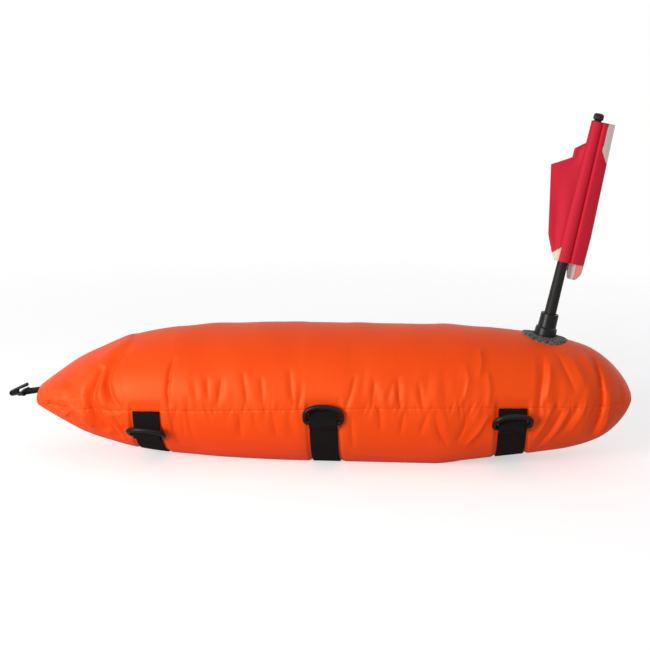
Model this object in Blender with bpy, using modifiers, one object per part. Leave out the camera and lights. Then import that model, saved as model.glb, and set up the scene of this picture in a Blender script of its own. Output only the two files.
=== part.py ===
"""A diver's torpedo float, lying on its belly with its flag up.

An inflated bladder fills a sewn nylon cover of two panels. Three webbing straps run under the
belly from seam to seam, and each holds a D-ring on both sides. A webbing loop at the bow carries
a tow hook. A tapered pole with a furled flag stands in a socket near the stern. The far side has
the bladder's valve and the zip through which the bladder goes in.

Everything is in metres. X runs from the tow end (-X) to the flag end (+X), -Y is the near side
and Z is up. The origin is on the ground under the widest part of the belly.
"""

import math

import bmesh
import bpy
import numpy as np
from mathutils import Matrix, Vector

# Hull: two half-panels of nylon over the bladder
BOW_REACH = 0.4165
STERN_REACH = 0.408
RADIUS = 0.0962
BELLY_SINK = 0.003  # how far the ground presses the belly flat
BELLY_EDGE = (0.0004, 0.0040)  # heights between which the hull curves up from its flat
MIDDLE_BOW = -0.060  # between these two places the hull is a straight cylinder
MIDDLE_STERN = 0.140
BOW_TIP_BEYOND = 0.0255  # the hull's lines would meet this far past its blunt ends
STERN_TIP_BEYOND = 0.0015
BOW_SHAPE = {"taper": 0.155, "power": 4.5, "tall": 1.35, "wide": 0.75}
STERN_SHAPE = {"taper": 0.33, "power": 7.0, "tall": 0.72, "wide": 0.55}
TAPER_START = 0.12  # how softly the taper sets in
BOW_DROP = 0.0125
BOW_CURVE = 2.6  # power with which the centre line drops
STERN_RISE = 0.004
SEAM_SLOPE = 0.0425
SEAM_RISE = 0.0045
SEAM_MOST = 0.6  # most that the seam leaves the centre line, as a share of the half height
SEAM_TURN = 0.95  # the same limit for the sine of its angle
NOSE_STEP = 0.0008  # how far the blunt ends bulge to the straight seam across them
NOSE_SEAM = 0.78  # that seam's length, as a share of the end's width
COVER_WALL = 0.0013
COVER_COLUMNS = 12
MIDDLE_CELL = 0.019  # length of the mesh cells along the middle, and near the ends
END_CELL = 0.0085
END_CELLS_FROM = 0.260
STERN_ROUND = 0.030  # the last stretch, with closer sections at these shares of it
STERN_ROUND_SHARES = (0.8, 0.6, 0.45, 0.3)
RIM_INSET = 0.95  # width of the closing rows, as a share of the end's
BLADDER_WALL = 0.0010
BLADDER_ROUND = 0.022  # length of its rounded ends
BLADDER_STERN = 0.008  # room behind its stern end
GAP = 0.0003  # between pieces that touch
SEAM_GAP = 0.0004
SLACK = 0.0010  # room between curved pieces for the flats of their facets

# Folds of the cover, where the panels' curved edges are gathered into the seam
FOLD_WIDTH = 0.009
FOLD_CREASE = 0.75  # share of a fold's depth in its crease, and in the swellings beside it
FOLD_SWELL = 0.45
FOLD_SWELL_OUT = 1.7  # how far out those stand, in fold widths
FOLD_STRAP = (0.001, 0.012)  # folds fade out between these distances from a D-ring
FOLD_END = 0.020  # and within this distance of the blunt ends
FOLD_ROOM_MIDDLE = 0.0032
FOLD_ROOM_END = 0.0062
FOLDS_FROM = 0.150  # distance from the middle where they start, and where they are deepest
FOLDS_FULL = 0.330
# x on the seam, x and angle of the upper end, x and angle of the lower end, depth
FOLDS = (
    (-0.400, -0.376, 55, -0.385, -50, 0.0035),
    (-0.372, -0.350, 60, -0.352, -60, 0.0040),
    (-0.337, -0.316, 62, -0.312, -58, 0.0058),
    (-0.301, -0.276, 72, -0.294, -62, 0.0045),
    (-0.214, -0.216, 50, -0.222, -45, 0.0022),
    (-0.160, -0.162, 36, -0.158, -40, 0.0012),
    (0.172, 0.174, 40, 0.160, -45, 0.0012),
    (0.210, 0.204, 46, 0.190, -50, 0.0022),
    (0.283, 0.289, 58, 0.277, -50, 0.0034),
    (0.320, 0.332, 66, 0.316, -56, 0.0040),
    (0.360, 0.350, 68, 0.357, -60, 0.0056),
    (0.386, 0.378, 60, 0.383, -52, 0.0030),
)

# Straps under the belly: name, place, D-ring bar below the seam, how far its arch leans out
WEBBING = 0.038
WEBBING_WALL = 0.0018
STRAPS = (
    ("bow", -0.250, 0.036, 27.0),
    ("mid", -0.008, 0.017, 0.0),
    ("stern", 0.243, 0.025, 22.0),
)
BAR_ROOM = 0.0004  # a strap above its bed, more than GAP because both are faceted
STRAP_BED = BAR_ROOM + WEBBING_WALL  # so that a strap is flush with the hull beside it
BED_EDGE = 0.007
BED_FLAT = 0.001  # how far its floor reaches past the strap
BED_FADE = 0.020  # above the seam
RING_ROD = 0.0033
RING_WIDTH = 0.055  # outside
RING_REACH = 0.0235  # bar to the top of the arch, on the rod's centre line
RING_SIDE = 0.0105
RING_CORNER = 0.0040
RING_FULLNESS = 0.9  # 1 would be half an ellipse, and less is fuller at the shoulders
LOOP_SPREAD = 0.0085  # how far along the strap its loop over the bar reaches
LOOP_CELL = 0.0034

# Tow loop and hook at the bow
TAB_WIDTH = 0.025
TAB_THICK = 0.0032
TAB_DROP = math.radians(9.0)
TAB_LEVEL = -0.0060  # below the hull's axis, where the loop comes out of the bow
TAB_INSIDE = 0.013
SLOT_LENGTH = 0.030
EYE_OUT = 0.0240  # from the bow to the bar of the hook's eye
EYE_ROD = 0.0018
EYE_LENGTH = 0.0065
EYE_CORNER = 0.0016
LOOP_WALL = 0.0015
HOOK_THICK = 0.0032
HOOK_TIP_THICK = 0.0050
HOOK_WIDTH = 0.0095
HOOK_NOSE = 0.0195  # from the eye's bar to the centre of the nose bend
HOOK_BEND = 0.0026
HOOK_STEP = 0.004  # over which the shank drops from the eye to the bend's lower side
HOOK_ARM = 0.0270
HOOK_WEB_SHARE = 0.42  # of the arm, filled down to the shank
HOOK_WEB_WIDTH = 0.0060
HOOK_ARM_RISE = math.radians(15.5)

# Pole and its socket
SOCKET_X = 0.2885
POLE_LEAN = math.radians(11.6)
FOOT_RADIUS = 0.0154
FOOT_TOP = 0.0120
COLLAR_RADIUS = 0.0121
COLLAR_TOP = 0.0315
SOCKET_LIFT = 0.0010  # the foot's underside above the cover's crown
NECK_RADIUS = 0.0085
NUT_RADIUS = 0.0125
NUT_THICK = 0.0024
NUT_DROP = 0.0042
NECK_TIP = 0.0080
POCKET_DEPTH = 0.0040  # the bladder's dimple round the nut
POCKET_SPREAD = 0.030
PATCH_RADIUS = 0.0315
PATCH_WALL = 0.0022
NOTCH_WIDTH = 0.0030
NOTCH_DEPTH = 0.0042
POLE_BOTTOM = 0.0120
POLE_TOP = 0.2980
POLE_RADIUS_LOW = 0.0080
POLE_RADIUS_HIGH = 0.0050
POLE_WALL = 0.0018
CAP_RADIUS = 0.0068
CAP_HEIGHT = 0.0095
CAP_STUB = 0.0120

# Flag, furled round the pole. Heights are above its foot, widths are from the pole's axis.
FLAG_FOOT = POLE_TOP - 0.193  # the cap ends just above the cloth
FLAG_HOIST = 0.1915
FLAG_WALL = 0.0006
FLAG_PLY_GAP = 0.0011  # between the pole's middle plane and a ply
FLAG_CELLS = 3  # cells of the mesh on either side of the pole, and on each quarter of the sleeve
FLAG_LEFT = (
    (0.000, 0.0120),
    (0.009, 0.0175),
    (0.032, 0.0279),
    (0.077, 0.0369),
    (0.124, 0.0463),
    (0.139, 0.0210),
    (0.151, 0.0208),
    (0.164, 0.0042),
    (0.1915, 0.0042),
)
FLAG_RIGHT = ((0.000, 0.0270), (0.038, 0.0275), (0.1915, 0.0223))
FLAG_TAIL = 0.0225  # how far the back ply hangs below the front one

# Valve and zip, on the far side
VALVE_X = 0.178
VALVE_ANGLE = math.radians(140.0)
VALVE_NECK = 0.0075
VALVE_BORE = 0.0045
VALVE_LIP = 0.0115
VALVE_LIP_THICK = 0.0020
VALVE_RISE = 0.0055
VALVE_FLANGE = 0.0100
FLANGE_THICK = 0.0012
LIP_SEAT = 0.0007  # the lip's underside above the hull, so that it clears the curved cover
PLUG_RADIUS = 0.0090
PLUG_TOP = 0.0045
PLUG_STUB = 0.0065
ZIP_START = -0.055
ZIP_END = 0.135
ZIP_ANGLE = math.radians(130.0)
ZIP_SLOT = 0.0104
ZIP_TAPE = 0.027
TAPE_WALL = 0.0007
TAPE_DROP = 0.0016
CHAIN_WIDTH = 0.0054
CHAIN_HEIGHT = 0.0034
TAPE_OVER = 0.008  # how far the tape runs on past each end of the slot
SLIDER_LENGTH = 0.0130
SLIDER_WIDTH = 0.0094
SLIDER_WALL = 0.0014
SLIDER_FROM = 0.006
LUG_HEIGHT = 0.0038
LUG_THICK = 0.0012
LUG_LENGTH = 0.0040
LUG_ROOT = 0.0006  # depth that a lug is sunk in the slider
PULL_PIN = 0.0008
PULL_LENGTH = 0.0250
PULL_WIDTH = 0.0062
PULL_THICK = 0.0015
PULL_NECK = 0.0060
PULL_ROOT = 0.0004  # length of the neck inside the eye

# Colours, in linear light, with roughness and metallic
FINISHES = {
    "nylon": ((0.95, 0.105, 0.022), 0.55, 0.0),
    "bladder": ((0.60, 0.58, 0.52), 0.45, 0.0),
    "webbing": ((0.011, 0.010, 0.009), 0.85, 0.0),
    "black_plastic": ((0.014, 0.014, 0.015), 0.35, 0.0),
    "grey_rubber": ((0.13, 0.11, 0.13), 0.80, 0.0),
    "pole": ((0.022, 0.021, 0.022), 0.45, 0.0),
    "flag_cloth": ((0.62, 0.018, 0.035), 0.70, 0.0),
    "zip_tape": ((0.015, 0.014, 0.014), 0.90, 0.0),
}

AXIS_HEIGHT = RADIUS - BELLY_SINK
BOW_LENGTH = BOW_REACH + BOW_TIP_BEYOND + MIDDLE_BOW
STERN_LENGTH = STERN_REACH + STERN_TIP_BEYOND - MIDDLE_STERN
BAR_HEIGHT = RING_ROD + GAP  # a D-ring's bar above the hull
LOOP_HEIGHT = BAR_HEIGHT + RING_ROD + GAP  # a strap's loop above the hull, over the bar
HIGHEST_POINT = math.pi / 2


def smooth_step(x, low, high):
    """0 below low, 1 above high, and a smooth S between."""
    t = np.clip((np.asarray(x, float) - low) / (high - low), 0, 1)
    return t * t * (3 - 2 * t)


def end_shape(t, taper, power, bluntness):
    """How a hull end narrows from 1 to 0 as t goes from 0 to 1: a soft taper, then a round end."""
    return (1 - taper * t * t / (t + TAPER_START)) * (1 - t**power) ** bluntness


def half_size(x, way):
    """Half the hull's height ("tall") or width ("wide") at x."""
    x = np.asarray(x, float)
    bow = np.clip((MIDDLE_BOW - x) / BOW_LENGTH, 0, 1)
    stern = np.clip((x - MIDDLE_STERN) / STERN_LENGTH, 0, 1)
    bow_part = end_shape(bow, BOW_SHAPE["taper"], BOW_SHAPE["power"], BOW_SHAPE[way])
    stern_part = end_shape(stern, STERN_SHAPE["taper"], STERN_SHAPE["power"], STERN_SHAPE[way])
    return RADIUS * bow_part * stern_part


def centre_height(x):
    """Height of the hull's centre line, which droops at the bow and lifts a little at the stern."""
    x = np.asarray(x, float)
    bow = np.clip((MIDDLE_BOW - x) / (BOW_REACH + MIDDLE_BOW), 0, None)
    stern = np.clip((x - MIDDLE_STERN) / STERN_LENGTH, 0, 1)
    return AXIS_HEIGHT - BOW_DROP * bow**BOW_CURVE + STERN_RISE * np.sin(math.pi * stern)


def seam_height(x):
    """Height of the side seam. It never leaves the middle of the hull's side."""
    x = np.asarray(x, float)
    rise = SEAM_RISE * np.sin(math.pi * np.clip(x, 0, STERN_REACH) / STERN_REACH)
    wanted = AXIS_HEIGHT + np.where(x < 0, SEAM_SLOPE * x, rise) - centre_height(x)
    most = SEAM_MOST * half_size(x, "tall")
    return centre_height(x) + wanted / (1 + np.abs(wanted / most) ** 4) ** 0.25


def seam_angle(x, shift=0.0):
    """Angle round the hull, from level on the near side, of the seam moved up by shift."""
    sine = (seam_height(x) + shift - centre_height(x)) / half_size(x, "tall")
    return np.arcsin(np.clip(sine, -SEAM_TURN, SEAM_TURN))


def above_seam(x, angle):
    """Angle from the seam on a point's own side up to the point, negative below the seam."""
    mirrored = np.where(np.cos(angle) < 0, math.pi - angle, angle)
    return (mirrored + math.pi) % (2 * math.pi) - math.pi - seam_angle(x)


def strap_bed(x, angle):
    """Depth of the shallow beds that the straps press into the hull, up to just over the seam."""
    x, angle = np.broadcast_arrays(np.asarray(x, float), np.asarray(angle, float))
    below = 1 - smooth_step(above_seam(x, angle) * RADIUS, BED_FLAT, BED_FADE)
    depth = np.zeros(x.shape)
    for _, place, _, _ in STRAPS:
        beside = np.abs(x - place) - WEBBING / 2
        depth += STRAP_BED * (1 - smooth_step(beside, BED_FLAT, BED_EDGE))
    return depth * below


def fold_height(x, angle):
    """How far the cover stands out, or in where negative, for the folds on both sides."""
    x, angle = np.broadcast_arrays(np.asarray(x, float), np.asarray(angle, float))
    up = above_seam(x, angle)
    height = np.zeros(x.shape)
    for at_seam, above_x, above, below_x, below, depth in FOLDS:
        share_up = np.clip(up / (math.radians(above) - seam_angle(at_seam)), 0, 1)
        share_down = np.clip(up / (math.radians(below) - seam_angle(at_seam)), 0, 1)
        line = at_seam + (above_x - at_seam) * share_up + (below_x - at_seam) * share_down
        fade = (1 - share_up**2) ** 2 * (1 - share_down**2) ** 2
        off = (x - line) / FOLD_WIDTH
        swell = np.exp(-((off - FOLD_SWELL_OUT) ** 2)) + np.exp(-((off + FOLD_SWELL_OUT) ** 2))
        height += depth * fade * (FOLD_SWELL * swell - FOLD_CREASE * np.exp(-(off**2)))
    for _, place, _, _ in STRAPS:
        from_ring = np.abs(x - place) - RING_WIDTH / 2
        height *= smooth_step(from_ring, *FOLD_STRAP)
    bow_fade = smooth_step(x, -BOW_REACH, FOLD_END - BOW_REACH)
    stern_fade = 1 - smooth_step(x, STERN_REACH - FOLD_END, STERN_REACH)
    return height * bow_fade * stern_fade


def skin(x, angle, out=0.0, bedded=True, folded=False):
    """Points of the hull's surface moved out by `out`, as an array with x, y and z last.

    A section is an ellipse about the centre line. `angle` is 0 on the near side, 90 degrees on
    top and 180 degrees on the far side. The ground flattens what would go below it.
    """
    x, angle = np.broadcast_arrays(np.asarray(x, float), np.asarray(angle, float))
    wide, tall = half_size(x, "wide"), half_size(x, "tall")
    cos, sin = np.cos(angle), np.sin(angle)
    push = out - (strap_bed(x, angle) if bedded else 0) + (fold_height(x, angle) if folded else 0)
    length = np.hypot(tall * cos, wide * sin)
    y = -wide * cos - push * tall * cos / length
    z = centre_height(x) + tall * sin + push * wide * sin / length
    above = np.maximum(z + push, 0)
    return np.stack([x, y, above * smooth_step(above, *BELLY_EDGE) - push], -1)


def skin_frame(x, angle, out=0.0):
    """Matrix with its origin on the hull, its X along the hull, and its Z straight out."""
    step = 1e-4
    here = Vector(skin(x, angle, out, bedded=False))
    along = Vector(skin(x + step, angle, out, bedded=False) - skin(x - step, angle, out, bedded=False))
    up = Vector(skin(x, angle + step, out, bedded=False) - skin(x, angle - step, out, bedded=False))
    along.normalize()
    outward = along.cross(up).normalized()
    matrix = Matrix((along, outward.cross(along), outward)).transposed().to_4x4()
    matrix.translation = here
    return matrix


def collection(name):
    made = bpy.data.collections.new(name)
    bpy.context.scene.collection.children.link(made)
    return made


def material(name):
    """A Principled material with the colour, roughness and metallic value listed for it."""
    if name in bpy.data.materials:
        return bpy.data.materials[name]
    colour, roughness, metallic = FINISHES[name]
    made = bpy.data.materials.new(name)
    made.use_nodes = True
    shader = made.node_tree.nodes["Principled BSDF"]
    shader.inputs["Base Color"].default_value = (*colour, 1)
    shader.inputs["Roughness"].default_value = roughness
    shader.inputs["Metallic"].default_value = metallic
    made.diffuse_color = (*colour, 1)
    return made


def add_object(name, data, finish, matrix=None):
    """Links an object into the float's collection, or among the cutters when it has no finish."""
    made = bpy.data.objects.new(name, data)
    if matrix is not None:
        made.matrix_world = matrix
    if finish:
        data.materials.append(material(finish))
        PARTS.objects.link(made)
    else:
        made.hide_render = True
        made.display_type = "WIRE"
        CUTTERS.objects.link(made)
    return made


def add_mesh(name, bm, finish, matrix=None, smooth=True):
    data = bpy.data.meshes.new(name)
    bm.to_mesh(data)
    bm.free()
    if smooth:
        data.shade_smooth()
        data.set_sharp_from_angle(angle=math.radians(40))
    return add_object(name, data, finish, matrix)


def grid_mesh(points, flip=False, close_rows=False):
    """A grid of quads laid over an array of points, given as rows by columns by x, y, z."""
    rows, columns = points.shape[0] - 1, points.shape[1] - 1
    bm = bmesh.new()
    bmesh.ops.create_grid(bm, x_segments=rows, y_segments=columns, size=1)
    for vertex in bm.verts:
        row = round((vertex.co.x + 1) / 2 * rows)
        column = round((vertex.co.y + 1) / 2 * columns)
        vertex.co = points[row, column]
    if close_rows:
        bmesh.ops.remove_doubles(bm, verts=bm.verts, dist=1e-6)
    if flip:
        bmesh.ops.reverse_faces(bm, faces=bm.faces)
    return bm


def solidify(thing, thickness, offset=-1.0):
    wall = thing.modifiers.new("wall", "SOLIDIFY")
    wall.thickness = thickness
    wall.offset = offset
    return thing


def boolean(thing, other, operation="DIFFERENCE"):
    cut = thing.modifiers.new(other.name, "BOOLEAN")
    cut.operation = operation
    cut.object = other


def join(thing, *others):
    """Unites helper solids with a part, which then holds them as its own."""
    for other in others:
        boolean(thing, other, "UNION")


def as_mesh(curve, merge=True):
    """Turns a curve object into a mesh object with its caps welded, and removes the curve."""
    bpy.context.view_layer.update()
    evaluated = curve.evaluated_get(bpy.context.evaluated_depsgraph_get())
    data = bpy.data.meshes.new_from_object(evaluated)
    name, matrix = curve.name, curve.matrix_world.copy()
    groups = list(curve.users_collection)
    hidden, display = curve.hide_render, curve.display_type
    bpy.data.objects.remove(curve)
    if merge:
        bm = bmesh.new()
        bm.from_mesh(data)
        bmesh.ops.remove_doubles(bm, verts=bm.verts, dist=1e-6)
        bmesh.ops.recalc_face_normals(bm, faces=bm.faces)
        bm.to_mesh(data)
        bm.free()
    made = bpy.data.objects.new(name, data)
    made.matrix_world = matrix
    made.hide_render, made.display_type = hidden, display
    for group in groups:
        group.objects.link(made)
    return made


def box(name, size, centre, finish=None, matrix=None, bevel=0.0):
    """A box of a size about a centre, both in the frame that the matrix gives."""
    bm = bmesh.new()
    bmesh.ops.create_cube(bm, size=1, matrix=Matrix.LocRotScale(Vector(centre), None, Vector(size)))
    if bevel:
        bmesh.ops.bevel(bm, geom=bm.edges, offset=bevel, segments=1, affect="EDGES")
    return add_mesh(name, bm, finish, matrix, smooth=False)


def cylinder(name, radius, low, high, matrix, finish=None, steps=24, across=False):
    """A cylinder from low to high along the matrix's Z, or along its Y when across is set.

    Its corners are turned off the axes, so that none lies on a mesh line of what it cuts.
    """
    turn = Matrix.Rotation(math.radians(-90), 4, "X") if across else Matrix()
    turn = turn @ Matrix.Rotation(math.radians(5), 4, "Z")
    place = turn @ Matrix.Translation((0, 0, (low + high) / 2))
    bm = bmesh.new()
    bmesh.ops.create_cone(
        bm, cap_ends=True, segments=steps, radius1=radius, radius2=radius, depth=high - low, matrix=place
    )
    return add_mesh(name, bm, finish, matrix)


def turned(name, profile, matrix, finish, steps=28, closed=False):
    """A shape turned about the matrix's Z from (radius, height) points, down its outer side."""
    bm = bmesh.new()
    points = [bm.verts.new((radius, 0, height)) for radius, height in profile]
    ends = zip(points, points[1:] + points[:1]) if closed else zip(points, points[1:])
    for pair in ends:
        bm.edges.new(pair)
    made = add_mesh(name, bm, finish, matrix, smooth=False)
    screw = made.modifiers.new("turn", "SCREW")
    screw.steps = screw.render_steps = steps
    screw.use_merge_vertices = True
    screw.merge_threshold = 1e-5
    screw.use_smooth_shade = False
    return made


def flat_plate(name, outlines, thickness, matrix, finish=None):
    """A plate in the matrix's XY plane, from outlines that are inside one another for holes."""
    curve = bpy.data.curves.new(name, "CURVE")
    curve.dimensions = "2D"
    curve.fill_mode = "BOTH"
    curve.extrude = thickness / 2
    for outline in outlines:
        spline = curve.splines.new("POLY")
        spline.points.add(len(outline) - 1)
        for point, (x, y) in zip(spline.points, outline):
            point.co = (x, y, 0, 1)
        spline.use_cyclic_u = True
    return as_mesh(add_object(name, curve, finish, matrix))


def closed_rod(name, points, radius, matrix, finish=None, sides=2):
    """A round rod bent into a closed loop through points in the matrix's XY plane."""
    curve = bpy.data.curves.new(name, "CURVE")
    curve.dimensions = "3D"
    curve.bevel_depth = radius
    curve.bevel_resolution = sides
    spline = curve.splines.new("POLY")
    spline.points.add(len(points) - 1)
    for point, (x, y) in zip(spline.points, points):
        point.co = (x, y, 0, 1)
    spline.use_cyclic_u = True
    return add_object(name, curve, finish, matrix)


def arc(centre, radius, start, end, count):
    """Points on a circle's arc, from one angle to another in degrees."""
    angles = np.radians(np.linspace(start, end, count))
    return [(centre[0] + radius * math.cos(a), centre[1] + radius * math.sin(a)) for a in angles]


def spans(anchors, spacing):
    """Places that keep every anchor and divide each span between two of them about evenly."""
    places = [anchors[0]]
    for start, end in zip(anchors, anchors[1:]):
        count = max(1, round((end - start) / spacing((start + end) / 2)))
        places += list(np.linspace(start, end, count + 1)[1:])
    return np.array(places)


def hull_places():
    """Stations along the hull: fine where it folds and curves, and on the edges of the strap beds."""
    edges = []
    for _, place, _, _ in STRAPS:
        for reach in (WEBBING / 2 + BED_FLAT, WEBBING / 2 + BED_EDGE):
            edges += [place - reach, place + reach]
    bow, stern = -BOW_REACH + NOSE_STEP, STERN_REACH - NOSE_STEP
    nose = [stern - STERN_ROUND * share**2 for share in STERN_ROUND_SHARES]
    anchors = sorted([bow, *edges, MIDDLE_BOW, MIDDLE_STERN, *nose, stern])
    return spans(anchors, lambda x: END_CELL if abs(x) > END_CELLS_FROM else MIDDLE_CELL)


def panel_face(places, upper, out):
    """One face of a cover panel, from seam to seam. Its end rows drop to the straight end seams."""
    places = np.concatenate([places[:1], places, places[-1:]])
    side = SEAM_GAP / 2 if upper else -SEAM_GAP / 2
    x, share = np.meshgrid(places, np.linspace(0, 1, COVER_COLUMNS + 1), indexing="ij")
    start = seam_angle(x, side)
    turn = math.pi - 2 * start if upper else -math.pi - 2 * start
    points = skin(x, start + turn * share, out=out, folded=True)
    rim = seam_height(places) + side
    points[:, 0, 2] = points[:, -1, 2] = rim
    for row, step in ((0, -NOSE_STEP), (-1, NOSE_STEP)):
        points[row, :, 0] += step
        points[row, :, 1] = NOSE_SEAM * points[row, 0, 1] * (1 - 2 * share[row])
        points[row, :, 2] = rim[row]
    return points


def cover_panel(name, upper):
    """One of the cover's two panels, as a closed band of sections: outside, then back inside."""
    places = hull_places()
    outside = panel_face(places, upper, 0)
    places[0] += COVER_WALL
    places[-1] -= COVER_WALL
    inside = panel_face(places, upper, -COVER_WALL)
    between = (outside + inside) / 2 * (1, RIM_INSET, 1)
    outside = np.concatenate([between[:1], outside, between[-1:]])
    inside = np.concatenate([between[:1], inside, between[-1:]])
    points = np.concatenate([outside, inside[:, ::-1], outside[:, :1]], axis=1)
    bm = grid_mesh(points, flip=not upper, close_rows=True)
    bmesh.ops.triangulate(bm, faces=bm.faces)
    return add_mesh(name, bm, "nylon")


def fold_room(x):
    """Depth that the bladder leaves free for the strap beds and for the cover's folds."""
    share = smooth_step(np.abs(x), FOLDS_FROM, FOLDS_FULL)
    return FOLD_ROOM_MIDDLE + (FOLD_ROOM_END - FOLD_ROOM_MIDDLE) * share


def bladder():
    """The air-tight bladder: it follows the cover's inside, with a dimple for the socket's nut."""
    low, high = -BOW_REACH + TAB_INSIDE + BLADDER_ROUND, STERN_REACH - BLADDER_STERN
    bm = bmesh.new()
    bmesh.ops.create_uvsphere(bm, u_segments=20, v_segments=26, radius=1)
    across = np.array([vertex.co for vertex in bm.verts])
    latitude = np.arcsin(np.clip(across[:, 2], -1, 1)) / math.pi + 0.5
    x = low + (high - low) * (latitude - 0.04 * np.sin(2 * math.pi * latitude))
    angle = np.arctan2(-across[:, 1], across[:, 0])
    sideways = np.abs((angle - HIGHEST_POINT + math.pi) % (2 * math.pi) - math.pi) * RADIUS
    away = np.hypot(x - SOCKET_X, sideways) / POCKET_SPREAD
    inset = COVER_WALL + SLACK + fold_room(x) + POCKET_DEPTH * np.exp(-(away**2))
    points = skin(x, angle, out=-inset, bedded=False)
    ends = np.minimum(x - low, high - x) / BLADDER_ROUND
    round_off = np.sqrt(np.clip(1 - (1 - np.clip(ends, 0, 1)) ** 2, 0, 1))
    middle = centre_height(x)
    points[:, 1] *= round_off
    points[:, 2] = middle + (points[:, 2] - middle) * round_off
    for vertex, point in zip(bm.verts, points):
        vertex.co = point
    made = solidify(add_mesh("bladder", bm, "bladder"), BLADDER_WALL)
    hole = cylinder("valve_hole_inner", VALVE_NECK + GAP, -0.030, 0.010, skin_frame(VALVE_X, VALVE_ANGLE))
    boolean(made, hole)
    return made


def bar_angle(place, below):
    """Angle round the hull of a D-ring's bar, on the near side."""
    return float(seam_angle(place)) - below / float(half_size(place, "tall"))


def strap(name, place, below):
    """A webbing strap from seam to seam under the belly, looped out over its two D-ring bars."""
    radius = float(half_size(place, "tall"))
    seam = float(seam_angle(place, -SEAM_GAP / 2))
    around = (math.pi + 2 * seam) * radius
    bar = (seam - bar_angle(place, below)) * radius / around
    hem, reach = SEAM_GAP / 2 / around, 1.5 * LOOP_SPREAD / around
    columns = np.linspace(0, 1, COVER_COLUMNS + 1)[1:-1]
    anchors = sorted([hem, bar + reach, *columns, 1 - bar - reach, 1 - hem])
    fine = LOOP_CELL / around
    shares = spans(anchors, lambda at: fine if min(at, 1 - at) < bar + reach else 1)
    x, share = np.meshgrid(np.linspace(place - WEBBING / 2, place + WEBBING / 2, 3), shares, indexing="ij")
    start = seam_angle(x, -SEAM_GAP / 2)
    angle = start + (-math.pi - 2 * start) * share
    away = (np.minimum(share, 1 - share) - bar) * around
    lift = np.exp(-((away / LOOP_SPREAD) ** 4))
    lift *= LOOP_HEIGHT + STRAP_BED
    bm = grid_mesh(skin(x, angle, out=BAR_ROOM + lift), flip=True)
    return solidify(add_mesh(name, bm, "webbing"), WEBBING_WALL, offset=1.0)


def ring_outline():
    """The D-ring's centre line: a straight bar at y = 0, short sides and a low arch."""
    half = RING_WIDTH / 2 - RING_ROD
    right = arc((half - RING_CORNER, RING_CORNER), RING_CORNER, -90, 0, 3)
    rise = RING_REACH - RING_SIDE
    over = [math.radians(a) for a in np.linspace(0, 180, 13)]
    across = [math.copysign(abs(math.cos(a)) ** RING_FULLNESS, math.cos(a)) for a in over]
    arch = [(half * share, RING_SIDE + rise * math.sin(a)) for share, a in zip(across, over)]
    left = [(-x, y) for x, y in reversed(right)]
    return right + arch + left


def ring_frame(place, below, lean, far):
    """A D-ring's frame: origin on its bar, X along the bar, Y towards the arch, Z outwards."""
    angle = bar_angle(place, below)
    frame = skin_frame(place, math.pi - angle if far else angle, BAR_HEIGHT)
    if far:
        frame = frame @ Matrix.Rotation(math.pi, 4, "Z")
    return frame @ Matrix.Rotation(math.radians(lean), 4, "X")


def straps_and_rings():
    for name, place, below, lean in STRAPS:
        strap("strap_" + name, place, below)
        for side, far in (("near", False), ("far", True)):
            frame = ring_frame(place, below, lean, far)
            closed_rod(f"d_ring_{name}_{side}", ring_outline(), RING_ROD, frame, "black_plastic")


def tow_frame():
    """Frame of the tow loop: origin in the bow's face, X out of the bow and a little down, Z to +Y."""
    cos, sin = math.cos(TAB_DROP), math.sin(TAB_DROP)
    frame = Matrix(((-cos, -sin, 0), (0, 0, 1), (-sin, cos, 0))).to_4x4()
    frame.translation = (-BOW_REACH, 0, AXIS_HEIGHT + TAB_LEVEL)
    return frame


def tow_loop(panel):
    """The webbing loop at the bow, which comes out through a slot in the panel's blunt end."""
    frame = tow_frame()
    half, outer = TAB_THICK / 2, EYE_ROD + GAP + LOOP_WALL
    meet = math.degrees(math.asin(half / outer))
    band = [(-TAB_INSIDE, half), (-TAB_INSIDE, -half)]
    around = arc((EYE_OUT, 0), outer, -180 + meet, 180 - meet, 17)
    hole = arc((EYE_OUT, 0), EYE_ROD + GAP, 0, 330, 12)
    flat_plate("tow_loop", [band + around, hole], TAB_WIDTH, frame, "webbing")
    slot = box("tow_slot", (SLOT_LENGTH, TAB_THICK + 2 * GAP, TAB_WIDTH + 2 * GAP), (0, 0, 0), matrix=frame)
    boolean(panel, slot)


def stroke(path, halves):
    """Outline of a band along a path, with its half width at each point and a round end."""
    points = [Vector(point) for point in path]
    sides = [[], []]
    for index, point in enumerate(points):
        before, after = points[max(index - 1, 0)], points[min(index + 1, len(points) - 1)]
        across = (after - before).normalized()
        across = Vector((-across.y, across.x)) * halves[index]
        sides[0].append(tuple(point + across))
        sides[1].append(tuple(point - across))
    tip = math.degrees(math.atan2(*(points[-1] - points[-2]).yx))
    end = arc(points[-1], halves[-1], tip + 60, tip - 60, 5)
    return sides[0] + end + sides[1][::-1]


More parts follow.
